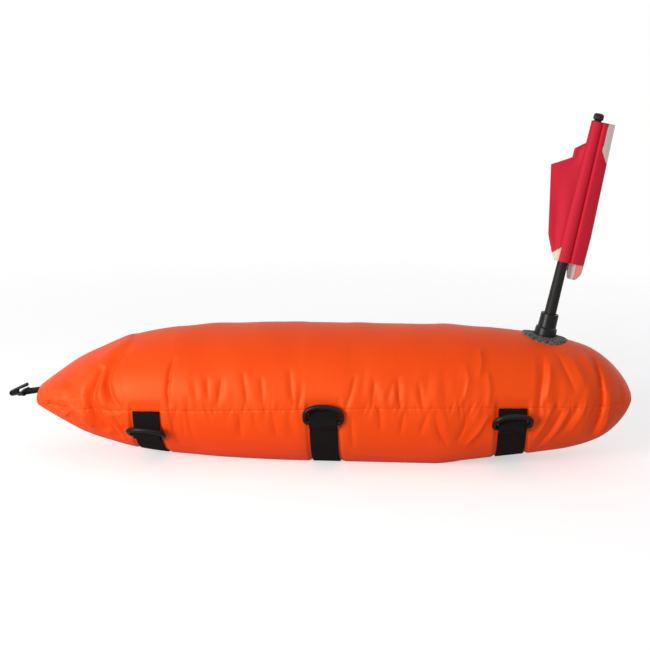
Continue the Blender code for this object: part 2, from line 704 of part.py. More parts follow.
def tow_hook():
    """The moulded hook: an eye round the webbing, a shank, a nose and an arm that comes back."""
    eye = tow_frame() @ Matrix.Translation((EYE_OUT, 0, 0))
    far_bar, side, corner = EYE_LENGTH, TAB_WIDTH / 2 + 2 * GAP + EYE_ROD, EYE_CORNER
    flat = eye @ Matrix.Rotation(math.radians(90), 4, "X")
    loop = []
    for x, y, start in ((far_bar, -side, -90), (far_bar, side, 0), (0, side, 90), (0, -side, 180)):
        inner = (x - math.copysign(corner, x - far_bar / 2), y - math.copysign(corner, y))
        loop += arc(inner, corner, start, start + 90, 3)
    frame = as_mesh(closed_rod("tow_hook", loop, EYE_ROD, flat, "black_plastic"))
    nose = (HOOK_NOSE, HOOK_BEND - HOOK_THICK / 2)
    turn_end = 90 - math.degrees(HOOK_ARM_RISE)
    path = [(far_bar, 0), (far_bar + HOOK_STEP, nose[1] - HOOK_BEND * 0.85)]
    path += arc(nose, HOOK_BEND, -90, turn_end, 9)
    start = Vector(path[-1])
    path.append(tuple(start + HOOK_ARM * Vector((-math.cos(HOOK_ARM_RISE), math.sin(HOOK_ARM_RISE)))))
    halves = [HOOK_THICK / 2] * (len(path) - 1) + [HOOK_TIP_THICK / 2]
    arm = flat_plate("tow_hook_arm", [stroke(path, halves)], HOOK_WIDTH, eye)
    inside = start.lerp(Vector(path[-1]), HOOK_WEB_SHARE)
    web = [*path[1:-1], tuple(inside)]
    join(frame, arm, flat_plate("tow_hook_web", [web], HOOK_WEB_WIDTH, eye))


def pole_frame():
    """Frame of the pole: origin on the cover's crown under the socket, Z up the leaning pole."""
    frame = Matrix.Rotation(POLE_LEAN, 4, "Y")
    frame.translation = Vector(skin(SOCKET_X, HIGHEST_POINT))
    return frame


def pole_radius(height):
    share = (height - COLLAR_TOP) / (POLE_TOP - COLLAR_TOP)
    return POLE_RADIUS_LOW + (POLE_RADIUS_HIGH - POLE_RADIUS_LOW) * share


def socket(panel):
    """The pole's socket, the nut that holds it in the cover, and the patch round its foot."""
    frame = pole_frame()
    bore = pole_radius(POLE_BOTTOM) + GAP
    floor = POLE_BOTTOM - GAP
    profile = [
        (0, floor),
        (bore, floor),
        (bore, COLLAR_TOP),
        (COLLAR_RADIUS - 0.0008, COLLAR_TOP),
        (COLLAR_RADIUS, COLLAR_TOP - 0.0008),
        (COLLAR_RADIUS + 0.0004, FOOT_TOP + 0.0008),
        (FOOT_RADIUS - 0.0016, FOOT_TOP - 0.0006),
        (FOOT_RADIUS - 0.0006, FOOT_TOP - 0.0022),
        (FOOT_RADIUS, SOCKET_LIFT),
        (NECK_RADIUS, SOCKET_LIFT),
        (NECK_RADIUS, -NECK_TIP),
        (0, -NECK_TIP),
    ]
    made = turned("pole_socket", profile, frame, "black_plastic")
    size = (2 * COLLAR_RADIUS - bore, NOTCH_WIDTH, 2 * NOTCH_DEPTH)
    notch = box("socket_notch", size, (COLLAR_RADIUS, 0, COLLAR_TOP), matrix=frame)
    boolean(made, notch)
    ring = [
        (NECK_RADIUS + GAP, -NUT_DROP),
        (NUT_RADIUS, -NUT_DROP),
        (NUT_RADIUS, -NUT_DROP - NUT_THICK),
        (NECK_RADIUS + GAP, -NUT_DROP - NUT_THICK),
    ]
    turned("socket_nut", ring, frame, "black_plastic", closed=True)
    boolean(panel, cylinder("neck_hole", NECK_RADIUS + GAP, -0.012, 0.006, frame))
    base_patch()


def base_patch():
    """A rubber ring welded on the cover round the socket's foot. It follows the hull."""
    reach, turn = np.meshgrid(
        np.linspace(FOOT_RADIUS + 2 * GAP, PATCH_RADIUS, 4), np.linspace(0, 2 * math.pi, 25), indexing="ij"
    )
    x = SOCKET_X + reach * np.cos(turn)
    angle = HIGHEST_POINT - reach * np.sin(turn) / half_size(x, "wide")
    bm = grid_mesh(skin(x, angle, out=BAR_ROOM), flip=True, close_rows=True)
    solidify(add_mesh("base_patch", bm, "grey_rubber"), PATCH_WALL, offset=1.0)


def pole_and_cap():
    frame = pole_frame()
    low, high = pole_radius(POLE_BOTTOM), pole_radius(POLE_TOP)
    tube = [(low, POLE_BOTTOM), (low - POLE_WALL, POLE_BOTTOM), (high - POLE_WALL, POLE_TOP), (high, POLE_TOP)]
    turned("pole", tube, frame, "pole", steps=20, closed=True)
    bottom, top = POLE_TOP + GAP, POLE_TOP + CAP_HEIGHT
    stub = high - POLE_WALL - GAP
    knob = [(0, top), (CAP_RADIUS * 0.62, top - 0.0004), (CAP_RADIUS * 0.92, top - 0.0018), (CAP_RADIUS, top - 0.0038)]
    knob += [(CAP_RADIUS, bottom + 0.0010), (CAP_RADIUS - 0.0010, bottom), (stub, bottom)]
    knob += [(stub, POLE_TOP - CAP_STUB), (0, POLE_TOP - CAP_STUB)]
    turned("pole_cap", knob, frame, "black_plastic", steps=20)


def flag_section(height):
    """One level of the furled flag, as points across, in depth and up, from its free front edge.

    The front ply goes over the pole to the fold on the right, and the back ply comes back.
    """
    sleeve = pole_radius(FLAG_FOOT + height) + BAR_ROOM + FLAG_WALL
    edge = 1.15 * sleeve
    left = max(float(np.interp(height, *zip(*FLAG_LEFT))), 1.03 * edge)
    right = float(np.interp(height, *zip(*FLAG_RIGHT)))
    front = [(wide, FLAG_PLY_GAP) for wide in np.linspace(-left, -edge, FLAG_CELLS + 1)[:-1]]
    for turn in np.linspace(0, math.pi, 2 * FLAG_CELLS + 1):
        front.append((-edge * math.cos(turn), FLAG_PLY_GAP + (1.06 * sleeve - FLAG_PLY_GAP) * math.sin(turn)))
    front += [(wide, FLAG_PLY_GAP) for wide in np.linspace(edge, right, FLAG_CELLS + 1)[1:]]
    hang = FLAG_TAIL * (1 - height / FLAG_HOIST)
    points = [(wide, -depth, FLAG_FOOT + height) for wide, depth in front]
    points.append((right + FLAG_PLY_GAP, 0, FLAG_FOOT + height - 0.4 * hang))
    for wide, depth in front[::-1]:
        drop = hang * float(smooth_step(wide, 0.5 * edge, 1.3 * edge))
        points.append((wide, depth, FLAG_FOOT + height - drop))
    return points


def flag():
    """The furled flag: one sheet that goes round the pole, with two flat plies on each side of it."""
    levels = spans([0, *(height for height, _ in FLAG_LEFT if height > 0)], lambda height: 0.024)
    points = np.array([flag_section(height) for height in levels])
    solidify(add_mesh("flag", grid_mesh(points), "flag_cloth", pole_frame()), FLAG_WALL, offset=0.0)


def valve(panel):
    """The bladder's valve: a flanged neck through bladder and cover, and the plug pressed into it."""
    frame = skin_frame(VALVE_X, VALVE_ANGLE)
    inside = -(COVER_WALL + SLACK + float(fold_room(VALVE_X)) + BLADDER_WALL + 2 * SLACK)
    profile = [
        (VALVE_BORE, VALVE_RISE),
        (VALVE_NECK, VALVE_RISE),
        (VALVE_NECK, LIP_SEAT + VALVE_LIP_THICK),
        (VALVE_LIP, LIP_SEAT + VALVE_LIP_THICK),
        (VALVE_LIP, LIP_SEAT),
        (VALVE_NECK, LIP_SEAT),
        (VALVE_NECK, inside),
        (VALVE_FLANGE, inside),
        (VALVE_FLANGE, inside - FLANGE_THICK),
        (VALVE_BORE, inside - FLANGE_THICK),
    ]
    turned("valve_body", profile, frame, "black_plastic", closed=True)
    low = VALVE_RISE + GAP
    plug = [(0, low + PLUG_TOP), (PLUG_RADIUS - 0.001, low + PLUG_TOP), (PLUG_RADIUS, low + PLUG_TOP - 0.001)]
    plug += [(PLUG_RADIUS, low), (VALVE_BORE - GAP, low)]
    plug += [(VALVE_BORE - 2 * GAP, low - PLUG_STUB), (0, low - PLUG_STUB)]
    turned("valve_plug", plug, frame, "black_plastic")
    boolean(panel, cylinder("valve_hole_outer", VALVE_NECK + GAP, -0.012, 0.008, frame))


def zip_strip(name, width, out, wall, finish, columns):
    """A strip along the zip that follows the hull's curve, from `out` inwards."""
    x, share = np.meshgrid(
        np.linspace(ZIP_START - TAPE_OVER, ZIP_END + TAPE_OVER, 3), np.linspace(-0.5, 0.5, columns), indexing="ij"
    )
    bm = grid_mesh(skin(x, ZIP_ANGLE + share * width / RADIUS, out=out))
    return solidify(add_mesh(name, bm, finish), wall)


def zip_closure(panel):
    """The zip in the upper panel: its tape, its chain of teeth, the slider and the puller."""
    frame = skin_frame((ZIP_START + ZIP_END) / 2, ZIP_ANGLE)
    length = ZIP_END - ZIP_START
    boolean(panel, box("zip_slot", (length, ZIP_SLOT, 0.012), (0, 0, 0), matrix=frame))
    tape_top = -(COVER_WALL + TAPE_DROP)
    zip_strip("zip_tape", ZIP_TAPE, tape_top, TAPE_WALL, "zip_tape", 5)
    chain_low = tape_top + GAP
    chain_top = chain_low + CHAIN_HEIGHT
    box(
        "zip_chain",
        (length - 0.002, CHAIN_WIDTH, CHAIN_HEIGHT),
        (0, 0, (chain_low + chain_top) / 2),
        "black_plastic",
        frame,
        bevel=0.0004,
    )
    slider_frame = frame @ Matrix.Translation((-length / 2 + SLIDER_FROM + SLIDER_LENGTH / 2, 0, 0))
    roof_low = chain_top + GAP
    roof_top = roof_low + SLIDER_WALL
    inner = CHAIN_WIDTH / 2 + GAP
    outer = SLIDER_WIDTH / 2
    skirt = chain_low + 2 * GAP
    section = [(outer, skirt), (outer, roof_top), (-outer, roof_top), (-outer, skirt)]
    section += [(-inner, skirt), (-inner, roof_low), (inner, roof_low), (inner, skirt)]
    lying = slider_frame @ Matrix(((0, 0, 1), (1, 0, 0), (0, 1, 0))).to_4x4()
    slider = flat_plate("zip_slider", [section], SLIDER_LENGTH, lying, "black_plastic")
    pin_height = roof_top + LUG_HEIGHT - 2 * PULL_PIN
    gap_half = PULL_WIDTH / 4 + GAP
    helpers = []
    for side in (-1, 1):
        middle = side * (gap_half + LUG_THICK / 2)
        size = (LUG_LENGTH, LUG_THICK, LUG_HEIGHT + LUG_ROOT)
        centre = (0, middle, roof_top + (LUG_HEIGHT - LUG_ROOT) / 2)
        helpers.append(box(f"lug_{side}", size, centre, matrix=slider_frame))
    pin_frame = slider_frame @ Matrix.Translation((0, 0, pin_height))
    half_pin = gap_half + LUG_THICK / 2
    helpers.append(cylinder("pull_pin", PULL_PIN, -half_pin, half_pin, pin_frame, steps=12, across=True))
    join(slider, *helpers)
    zip_puller(pin_frame, gap_half - GAP)


def zip_puller(pin_frame, half_eye):
    """The puller: a narrow eye round the slider's pin, then a wider tab that lies along the zip."""
    eye = 2 * PULL_PIN
    side = pin_frame @ Matrix.Rotation(math.radians(90), 4, "X")
    ring = [arc((0, 0), eye, 0, 330, 12), arc((0, 0), PULL_PIN + 0.0002, 0, 330, 12)]
    made = flat_plate("zip_puller", ring, 2 * half_eye, side, "black_plastic")
    neck_middle = eye - PULL_ROOT + PULL_NECK / 2
    neck = box("puller_neck", (PULL_NECK, 2 * half_eye, PULL_THICK), (neck_middle, 0, 0), matrix=pin_frame)
    tab = box(
        "puller_tab",
        (PULL_LENGTH - PULL_NECK, PULL_WIDTH, PULL_THICK),
        ((PULL_LENGTH + PULL_NECK) / 2, 0, 0),
        matrix=pin_frame,
        bevel=0.0003,
    )
    join(made, neck, tab)


def clear_scene():
    for thing in list(bpy.data.objects):
        bpy.data.objects.remove(thing)


def build():
    upper = cover_panel("cover_top", True)
    cover_panel("cover_bottom", False)
    bladder()
    straps_and_rings()
    tow_loop(upper)
    tow_hook()
    socket(upper)
    pole_and_cap()
    flag()
    valve(upper)
    zip_closure(upper)


clear_scene()
PARTS = collection("dive_float_buoy")
CUTTERS = collection("cutters")
build()
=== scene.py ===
# %% [markdown]
# # A diver's torpedo float
# This lesson dresses a diver's marker float: an orange nylon cover over an inflated bladder, three
# straps with D-rings, a tow hook, and a furled flag on a leaning pole. The plain model of it is
# loaded first and stays the frame. Every piece below is a surface worked out with numpy, laid where
# that frame says, in metres. X runs from the tow end to the flag end, -Y is the near side, Z is up.

# %% The frame
import math

import bmesh
import bpy
import numpy as np
from mathutils import Matrix


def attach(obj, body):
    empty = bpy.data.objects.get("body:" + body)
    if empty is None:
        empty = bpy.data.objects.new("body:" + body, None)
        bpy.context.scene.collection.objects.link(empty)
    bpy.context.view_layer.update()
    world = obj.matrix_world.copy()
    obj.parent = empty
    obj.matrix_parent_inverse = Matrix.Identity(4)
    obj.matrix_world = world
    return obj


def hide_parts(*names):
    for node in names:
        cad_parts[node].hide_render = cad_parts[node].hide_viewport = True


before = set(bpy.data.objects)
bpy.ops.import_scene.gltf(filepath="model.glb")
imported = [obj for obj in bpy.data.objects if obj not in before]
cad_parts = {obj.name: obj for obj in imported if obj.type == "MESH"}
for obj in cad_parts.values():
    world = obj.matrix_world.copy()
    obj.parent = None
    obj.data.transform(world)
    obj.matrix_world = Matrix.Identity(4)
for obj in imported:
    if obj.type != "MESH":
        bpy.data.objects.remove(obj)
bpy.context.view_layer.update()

MM = 0.001  # one millimetre, in metres

# %% [markdown]
# ## Tools for surfaces
# A surface is a grid of points, rows by columns, and each cell of the grid is one face. A tube is
# such a grid whose last column meets the first. A closed end is a last row drawn together in one
# point. `piece` puts grids into a mesh and turns the faces outwards: the volume of a closed shape,
# summed over its faces, is negative when the faces look inwards.

# %% Grids into meshes
def grid_faces(copies, rows, columns, loop_rows, loop_columns):
    """Corner numbers of the quads between neighbouring rows and columns, for each copy of a grid."""
    row = np.arange(rows if loop_rows else rows - 1)
    column = np.arange(columns if loop_columns else columns - 1)
    row, column = np.meshgrid(row, column, indexing="ij")
    next_row, next_column = (row + 1) % rows, (column + 1) % columns
    corners = [(row, column), (next_row, column), (next_row, next_column), (row, next_column)]
    quads = np.stack([r * columns + c for r, c in corners], -1).reshape(-1, 4)
    return (np.arange(copies)[:, None, None] * rows * columns + quads).reshape(-1, 4)


def outward(points, faces):
    """Faces in the order that makes the enclosed volume, the sum of a x b . c / 6, positive."""
    centred = points - points.mean(0)
    a, b, c, d = (centred[faces[:, corner]] for corner in range(4))
    volume = (np.cross(a, b) * c).sum() + (np.cross(a, c) * d).sum()
    return faces if volume > 0 else faces[:, ::-1]


def piece(name, grids, finish, slot, body="float", stands_for=(), loop=(False, True), flat=None, sharp=45):
    """A mesh object from one or more grids, which rides on a body and stands for CAD nodes.

    flat holds, for one grid, each point's place on the flat cloth in metres, as a UV map.
    """
    points, faces, count = [], [], 0
    for grid in grids:
        grid = np.asarray(grid, float)
        copies, rows, columns = (1, *grid.shape[:2]) if grid.ndim == 3 else grid.shape[:3]
        corners = grid.reshape(-1, 3)
        faces.append(count + outward(corners, grid_faces(copies, rows, columns, *loop)))
        points.append(corners)
        count += len(corners)
    mesh = bpy.data.meshes.new(name)
    mesh.from_pydata(np.concatenate(points).tolist(), [], np.concatenate(faces).tolist())
    if flat is not None:
        numbers = np.zeros(len(mesh.loops), int)
        mesh.loops.foreach_get("vertex_index", numbers)
        layer = mesh.uv_layers.new(name="flat")
        layer.data.foreach_set("uv", flat.reshape(-1, 2)[numbers].ravel())
    work = bmesh.new()
    work.from_mesh(mesh)
    bmesh.ops.remove_doubles(work, verts=work.verts, dist=1e-6)
    work.to_mesh(mesh)
    work.free()
    mesh.shade_smooth()
    mesh.set_sharp_from_angle(angle=math.radians(sharp))
    mesh.materials.append(finish)
    made = bpy.data.objects.new(name, mesh)
    bpy.context.scene.collection.objects.link(made)
    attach(made, body)
    if stands_for:
        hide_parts(*stands_for)
    print(f"{name}: {len(mesh.polygons)} faces")
    return made


def capped(grid):
    """The grid with a row at each end drawn together in the middle of the end section."""
    ends = [np.broadcast_to(row.mean(0), row.shape)[None] for row in (grid[0], grid[-1])]
    return np.concatenate([ends[0], grid, ends[1]])

# %% [markdown]
# ## Tools for shapes
# Moulded pieces are never sharp, so `softened` rounds the corners of a profile. `turned` spins a
# profile about an axis, as a lathe does. `carried` takes a cross-section along a path, as an
# extruder or a loom does. A frame is a 4 by 4 array: its columns are the directions X, Y, Z and
# the place of the origin.

# %% Profiles and frames
def softened(line, by):
    """Rounds each inner corner of a line with a parabola that starts and ends `by` away from it."""
    line = np.array(line, float)
    corner = line[1:-1]
    legs = []
    for other in (line[:-2], line[2:]):
        way = other - corner
        share = np.minimum(by / np.linalg.norm(way, axis=1, keepdims=True), 0.45)
        legs.append((corner + way * share)[:, None])
    t = np.linspace(0, 1, 5)[None, :, None]
    curve = (1 - t) ** 2 * legs[0] + 2 * t * (1 - t) * corner[:, None] + t * t * legs[1]
    return np.concatenate([line[:1], curve.reshape(-1, line.shape[1]), line[-1:]])


def placed(matrix, points):
    """Points of a frame in the scene: origin + X x + Y y + Z z."""
    return np.asarray(points, float) @ matrix[:3, :3].T + matrix[:3, 3]


def turned(profile, matrix, steps=72):
    """Spins (radius, height) points about the frame's Z: (r cos a, r sin a, h)."""
    profile = np.asarray(profile, float)
    angle = np.linspace(0, 2 * math.pi, steps, endpoint=False)
    radius, height = profile[:, :1], profile[:, 1:]
    points = np.stack([radius * np.cos(angle), radius * np.sin(angle), height + 0 * angle], -1)
    return placed(matrix, points)


def carried(path, across, up, outline):
    """A section along a path: path + first x across + second x up, for every outline point."""
    outline = np.broadcast_to(outline, (len(path), *np.shape(outline)[-2:]))
    return path[:, None] + outline[..., :1] * across[:, None] + outline[..., 1:] * up[:, None]


def flat_frame(origin, x_way, y_way):
    """A frame from its origin and two directions at right angles."""
    matrix = np.eye(4)
    matrix[:3, 0], matrix[:3, 1] = x_way, y_way
    matrix[:3, 2], matrix[:3, 3] = np.cross(x_way, y_way), origin
    return matrix


def moved(matrix, *steps):
    """The frame moved by steps along its own directions."""
    result = matrix.copy()
    result[:3, 3] = placed(matrix, steps)
    return result


print("a softened corner has", len(softened([(0, 0), (1, 0), (1, 1)], 0.2)) - 2, "points")

# %% [markdown]
# A few more helpers draw flat lines and bend numbers. `smooth_step` turns something on without a
# kink, `held` keeps it from growing past a limit, and `squarer` turns a circle into a rounded
# square.

# %% Lines and limits
def arc(centre, radius, start, end, count):
    """Points on a circle's arc, from one angle to another in degrees."""
    angle = np.radians(np.linspace(start, end, count))
    return np.stack([centre[0] + radius * np.cos(angle), centre[1] + radius * np.sin(angle)], -1)


def way_along(line):
    """Distance from a line's first point to each of its points, summed along the line."""
    return np.concatenate([[0], np.cumsum(np.linalg.norm(np.diff(line, axis=0), axis=1))])


def squarer(values, power):
    """Sizes to a power below 1, signs kept: of cosines and sines it makes a rounded square."""
    return np.sign(values) * np.abs(values) ** power


def smooth_step(x, low, high):
    """0 below low, 1 above high, and t t (3 - 2 t) between."""
    t = np.clip((np.asarray(x, float) - low) / (high - low), 0, 1)
    return t * t * (3 - 2 * t)


def held(value, limit):
    """v / (1 + (v / limit) to the 4) to the 1/4: the value where it is small, and never past the limit."""
    return value / (1 + np.abs(value / limit) ** 4) ** 0.25


print("a number of 2 held at 1 becomes", round(held(2, 1), 3))

# %% [markdown]
# ## Tools for materials
# Colours are written as they look on a screen, in sRGB, and Blender works in linear light, so one
# function turns one into the other. One more adds a node with its settings and wires.
# A wave texture has one wave in 0.314 units and a noise texture about one grain in one unit, so
# `waves` and `grains` give the scales for real sizes.

# %% Colour and nodes
def colour(code):
    """Linear red, green, blue and alpha of an sRGB hex code: ((c + 0.055) / 1.055) to the 2.4."""
    value = np.array([int(code[start : start + 2], 16) for start in (1, 3, 5)]) / 255
    line = np.where(value <= 0.04045, value / 12.92, ((value + 0.055) / 1.055) ** 2.4)
    return (*line.tolist(), 1.0)


def node(tree, kind, values=None, **settings):
    """Adds a node. Each of the values is a constant for an input, or the output it is wired to."""
    made = tree.nodes.new("ShaderNode" + kind)
    for name, setting in settings.items():
        setattr(made, name, setting)
    for name, value in (values or {}).items():
        if isinstance(value, bpy.types.NodeSocket):
            tree.links.new(value, made.inputs[name])
        else:
            made.inputs[name].default_value = value
    return made


def waves(spacing):
    """Scale of a wave texture whose waves are this far apart, in metres."""
    return math.pi / 10 / spacing


def grains(size):
    """Scale of a noise texture whose grains are about this wide, in metres."""
    return 1 / size


def new_material(name, base, rough, **constants):
    """A material with a Principled shader, its constant sockets set directly."""
    made = bpy.data.materials.new(name)
    made.use_nodes = True
    tree = made.node_tree
    shader = tree.nodes["Principled BSDF"]
    shader.inputs["Base Color"].default_value = colour(base)
    shader.inputs["Roughness"].default_value = rough
    for socket, value in constants.items():
        shader.inputs[socket.replace("_", " ").title()].default_value = value
    made.diffuse_color = colour(base)
    return made, tree, shader


MIX_SHARE, MIX_LOW, MIX_HIGH, MIX_COLOUR = 0, 6, 7, 2  # numbers of the Mix node's colour sockets


def mixed(tree, share, low, high):
    """A colour between two, by another node's share. Each is a hex code or another node's output."""
    low, high = (colour(end) if isinstance(end, str) else end for end in (low, high))
    made = node(tree, "Mix", {MIX_SHARE: share, MIX_LOW: low, MIX_HIGH: high}, data_type="RGBA")
    return made.outputs[MIX_COLOUR]


print("orange in linear light", np.round(colour("#F24104")[:3], 3))

# %% [markdown]
# ## Coated nylon
# The cover is nylon oxford cloth, dyed orange and coated on the inside. It is a plain weave of
# threads about 0.4 mm apart, far too fine to show at arm's length, so it is drawn at 1.6 mm. Its
# dyed filaments give a satin light: soft, wide highlights with a warm tint from the dye, which is
# why the shader's specular tint is orange. The weave follows the cloth, so it reads the piece's own
# flat UV map, and the dye changes slowly, in patches some 70 mm wide.

# %% The nylon
CLOTH_THREAD = 0.0016


def woven(tree, across, along):
    """Height of a plain weave: the product of two trains of waves at right angles, on the UV map."""
    flat = node(tree, "UVMap", uv_map="flat").outputs["UV"]
    trains = []
    for direction, spacing in (("X", across), ("Y", along)):
        train = node(tree, "TexWave", {"Vector": flat, "Scale": waves(spacing)}, bands_direction=direction)
        trains.append(train.outputs["Fac"])
    both = node(tree, "Math", {0: trains[0], 1: trains[1]}, operation="MULTIPLY")
    return both.outputs[0]


def raised(tree, shader, height, distance, strength=1.0):
    """A bump of that many metres, on the shader's normal."""
    bump = node(tree, "Bump", {"Height": height, "Distance": distance, "Strength": strength})
    tree.links.new(bump.outputs["Normal"], shader.inputs["Normal"])


def nylon(name, thread, shade, light):
    """Coated nylon oxford: a fine weave, slow changes of the dye, and tinted satin highlights."""
    made, tree, shader = new_material(name, shade, 0.52)
    shader.inputs["Specular Tint"].default_value = colour("#FFB27A")
    shader.inputs["Specular IOR Level"].default_value = 0.85
    place = node(tree, "TexCoord").outputs["Object"]
    slow = node(tree, "TexNoise", {"Vector": place, "Scale": grains(0.0714), "Detail": 3.0}).outputs["Fac"]
    weave = woven(tree, thread, thread)
    share = node(tree, "Math", {0: slow, 1: weave}, operation="ADD").outputs[0]
    share = node(tree, "MapRange", {"Value": share, "From Min": 0.3, "From Max": 1.3}).outputs["Result"]
    tree.links.new(mixed(tree, share, shade, light), shader.inputs["Base Color"])
    raised(tree, shader, weave, 0.00006, 0.5)
    return made


orange_nylon = nylon("coated_nylon_orange", CLOTH_THREAD, "#F24104", "#FB5008")
print("nylon threads drawn", CLOTH_THREAD * 1000, "mm apart")

# %% [markdown]
# ## The hull's lines
# A section of the float is an ellipse about a centre line. Its half height and half width narrow
# towards both ends by a soft taper and then a blunt round. The bow droops a little, as the photo
# shows, and the ground presses the belly flat. Angles go round the hull from the near side over the
# top, so 90 degrees is the top and 180 the far side.

# %% Sections and centre line
BOW_REACH, STERN_REACH, RADIUS = 0.4165, 0.408, 0.0962
BELLY_SINK, BELLY_EDGE = 0.003, (0.0004, 0.0040)
AXIS_HEIGHT = RADIUS - BELLY_SINK
MIDDLE_BOW, MIDDLE_STERN = -0.060, 0.140
BOW_LENGTH, STERN_LENGTH = 0.382, 0.2695
BOW_SHAPE = {"taper": 0.155, "power": 4.5, "tall": 1.35, "wide": 0.75}
STERN_SHAPE = {"taper": 0.33, "power": 7.0, "tall": 0.72, "wide": 0.55}
BOW_DROP, STERN_RISE = 0.0125, 0.004
TOP = math.pi / 2
TAPER_EASE = 0.12  # how softly the taper begins


def end_shape(t, taper, power, bluntness):
    """(1 - taper t t / (t + ease)) times (1 - t to the power) to the bluntness."""
    return (1 - taper * t * t / (t + TAPER_EASE)) * (1 - t**power) ** bluntness


def half_size(x, way):
    """Half the hull's height ("tall") or width ("wide") at x: the radius times both end shapes."""
    bow = np.clip((MIDDLE_BOW - np.asarray(x, float)) / BOW_LENGTH, 0, 1)
    stern = np.clip((np.asarray(x, float) - MIDDLE_STERN) / STERN_LENGTH, 0, 1)
    size = RADIUS
    for t, shape in ((bow, BOW_SHAPE), (stern, STERN_SHAPE)):
        size = size * end_shape(t, shape["taper"], shape["power"], shape[way])
    return size


def centre_height(x):
    """Height of the centre line: it drops at the bow by t to the 2.6, and lifts at the stern by a sine."""
    bow = np.clip((MIDDLE_BOW - np.asarray(x, float)) / (BOW_REACH + MIDDLE_BOW), 0, None)
    stern = np.clip((np.asarray(x, float) - MIDDLE_STERN) / STERN_LENGTH, 0, 1)
    return AXIS_HEIGHT - BOW_DROP * bow**2.6 + STERN_RISE * np.sin(math.pi * stern)


def skin(x, angle, out=0.0):
    """Points of the hull moved out by `out`: (x, -wide cos, centre + tall sin) plus out times the normal."""
    x, angle = np.broadcast_arrays(np.asarray(x, float), np.asarray(angle, float))
    wide, tall = half_size(x, "wide"), half_size(x, "tall")
    cos, sin = np.cos(angle), np.sin(angle)
    length = np.hypot(tall * cos, wide * sin)
    y = -wide * cos - out * tall * cos / length
    z = centre_height(x) + tall * sin + out * wide * sin / length
    above = np.maximum(z + out, 0)
    return np.stack([x, y, above * smooth_step(above, *BELLY_EDGE) - out], -1)


def directions(x, angle):
    """Unit vectors along the hull and straight out of it, from small steps in x and in angle."""
    step = 1e-4
    along = skin(x + step, angle) - skin(x - step, angle)
    around = skin(x, angle + step) - skin(x, angle - step)
    along /= np.linalg.norm(along, axis=-1, keepdims=True)
    out = np.cross(along, around)
    return along, out / np.linalg.norm(out, axis=-1, keepdims=True)


def skin_frame(x, angle, out=0.0):
    """A frame on the hull: X along it, Z straight out."""
    along, normal = directions(x, angle)
    return flat_frame(skin(x, angle, out), along, np.cross(normal, along))


print("hull", round((BOW_REACH + STERN_REACH) * 1000), "mm long,", round(2 * RADIUS * 1000), "mm thick")

# %% [markdown]
# ## The side seam
# The cover is sewn from an upper and a lower panel, and their seam runs along both sides and across
# the blunt ends. It sinks a little towards the bow. The straps end in this seam, and under each of
# them the air-filled hull gives way, so that the strap lies in a shallow bed.

# %% Seam and strap beds
SEAM_SLOPE, SEAM_RISE = 0.0425, 0.0045
WEBBING, WEBBING_WALL, BAR_ROOM = 0.038, 0.0018, 0.0004
STRAP_BED = WEBBING_WALL + BAR_ROOM
BED_EDGE, BED_TOP = (0.020, 0.026), (0.001, 0.020)  # where a bed fades, beside the strap and over the seam
# place of each strap's middle, distance of its bar below the seam, and lean of its ring in degrees
STRAPS = {"bow": (-0.250, 0.036, 27.0), "mid": (-0.008, 0.017, 0.0), "stern": (0.243, 0.025, 22.0)}


def seam_height(x):
    """Height of the seam: a slope to the bow and a sine to the stern, held near the middle of the side."""
    x = np.asarray(x, float)
    rise = SEAM_RISE * np.sin(math.pi * np.clip(x, 0, STERN_REACH) / STERN_REACH)
    wanted = AXIS_HEIGHT + np.where(x < 0, SEAM_SLOPE * x, rise) - centre_height(x)
    return centre_height(x) + held(wanted, 0.6 * half_size(x, "tall"))


def seam_angle(x):
    """Angle round the hull of the seam on the near side: arcsine of its height over the half height."""
    return np.arcsin(np.clip((seam_height(x) - centre_height(x)) / half_size(x, "tall"), -0.95, 0.95))


def above_seam(x, angle):
    """Angle from the seam on a point's own side up to the point, negative below the seam."""
    mirrored = np.where(np.cos(angle) < 0, math.pi - angle, angle)
    return (mirrored + math.pi) % (2 * math.pi) - math.pi - seam_angle(x)


def strap_bed(x, angle):
    """Depth of the beds: full under the webbing, fading beside it and above the seam."""
    depth = sum(1 - smooth_step(np.abs(x - place), *BED_EDGE) for place, _, _ in STRAPS.values())
    return STRAP_BED * depth * (1 - smooth_step(above_seam(x, angle) * RADIUS, *BED_TOP))


print("seam", round(1000 * float(seam_height(0.0))), "mm above the ground in the middle")

# %% [markdown]
# ## Folds of the cover
# The panels are cut flat, and their curved ends are gathered into the seam, so the cloth buckles
# there into sharp creases with soft swellings between. Each crease is a line on the unrolled hull,
# given by places along the hull in millimetres and angles round it in degrees, as they are seen in
# the photo. A crease falls off steeply on either side, with its own width on each, and the cloth
# swells a little beyond. The far side, which the photo doesn't show, gets the same kinds of crease
# moved and changed in depth. No fold goes deeper than the room over the bladder, which is narrow in
# the middle of the hull and wider at its ends.

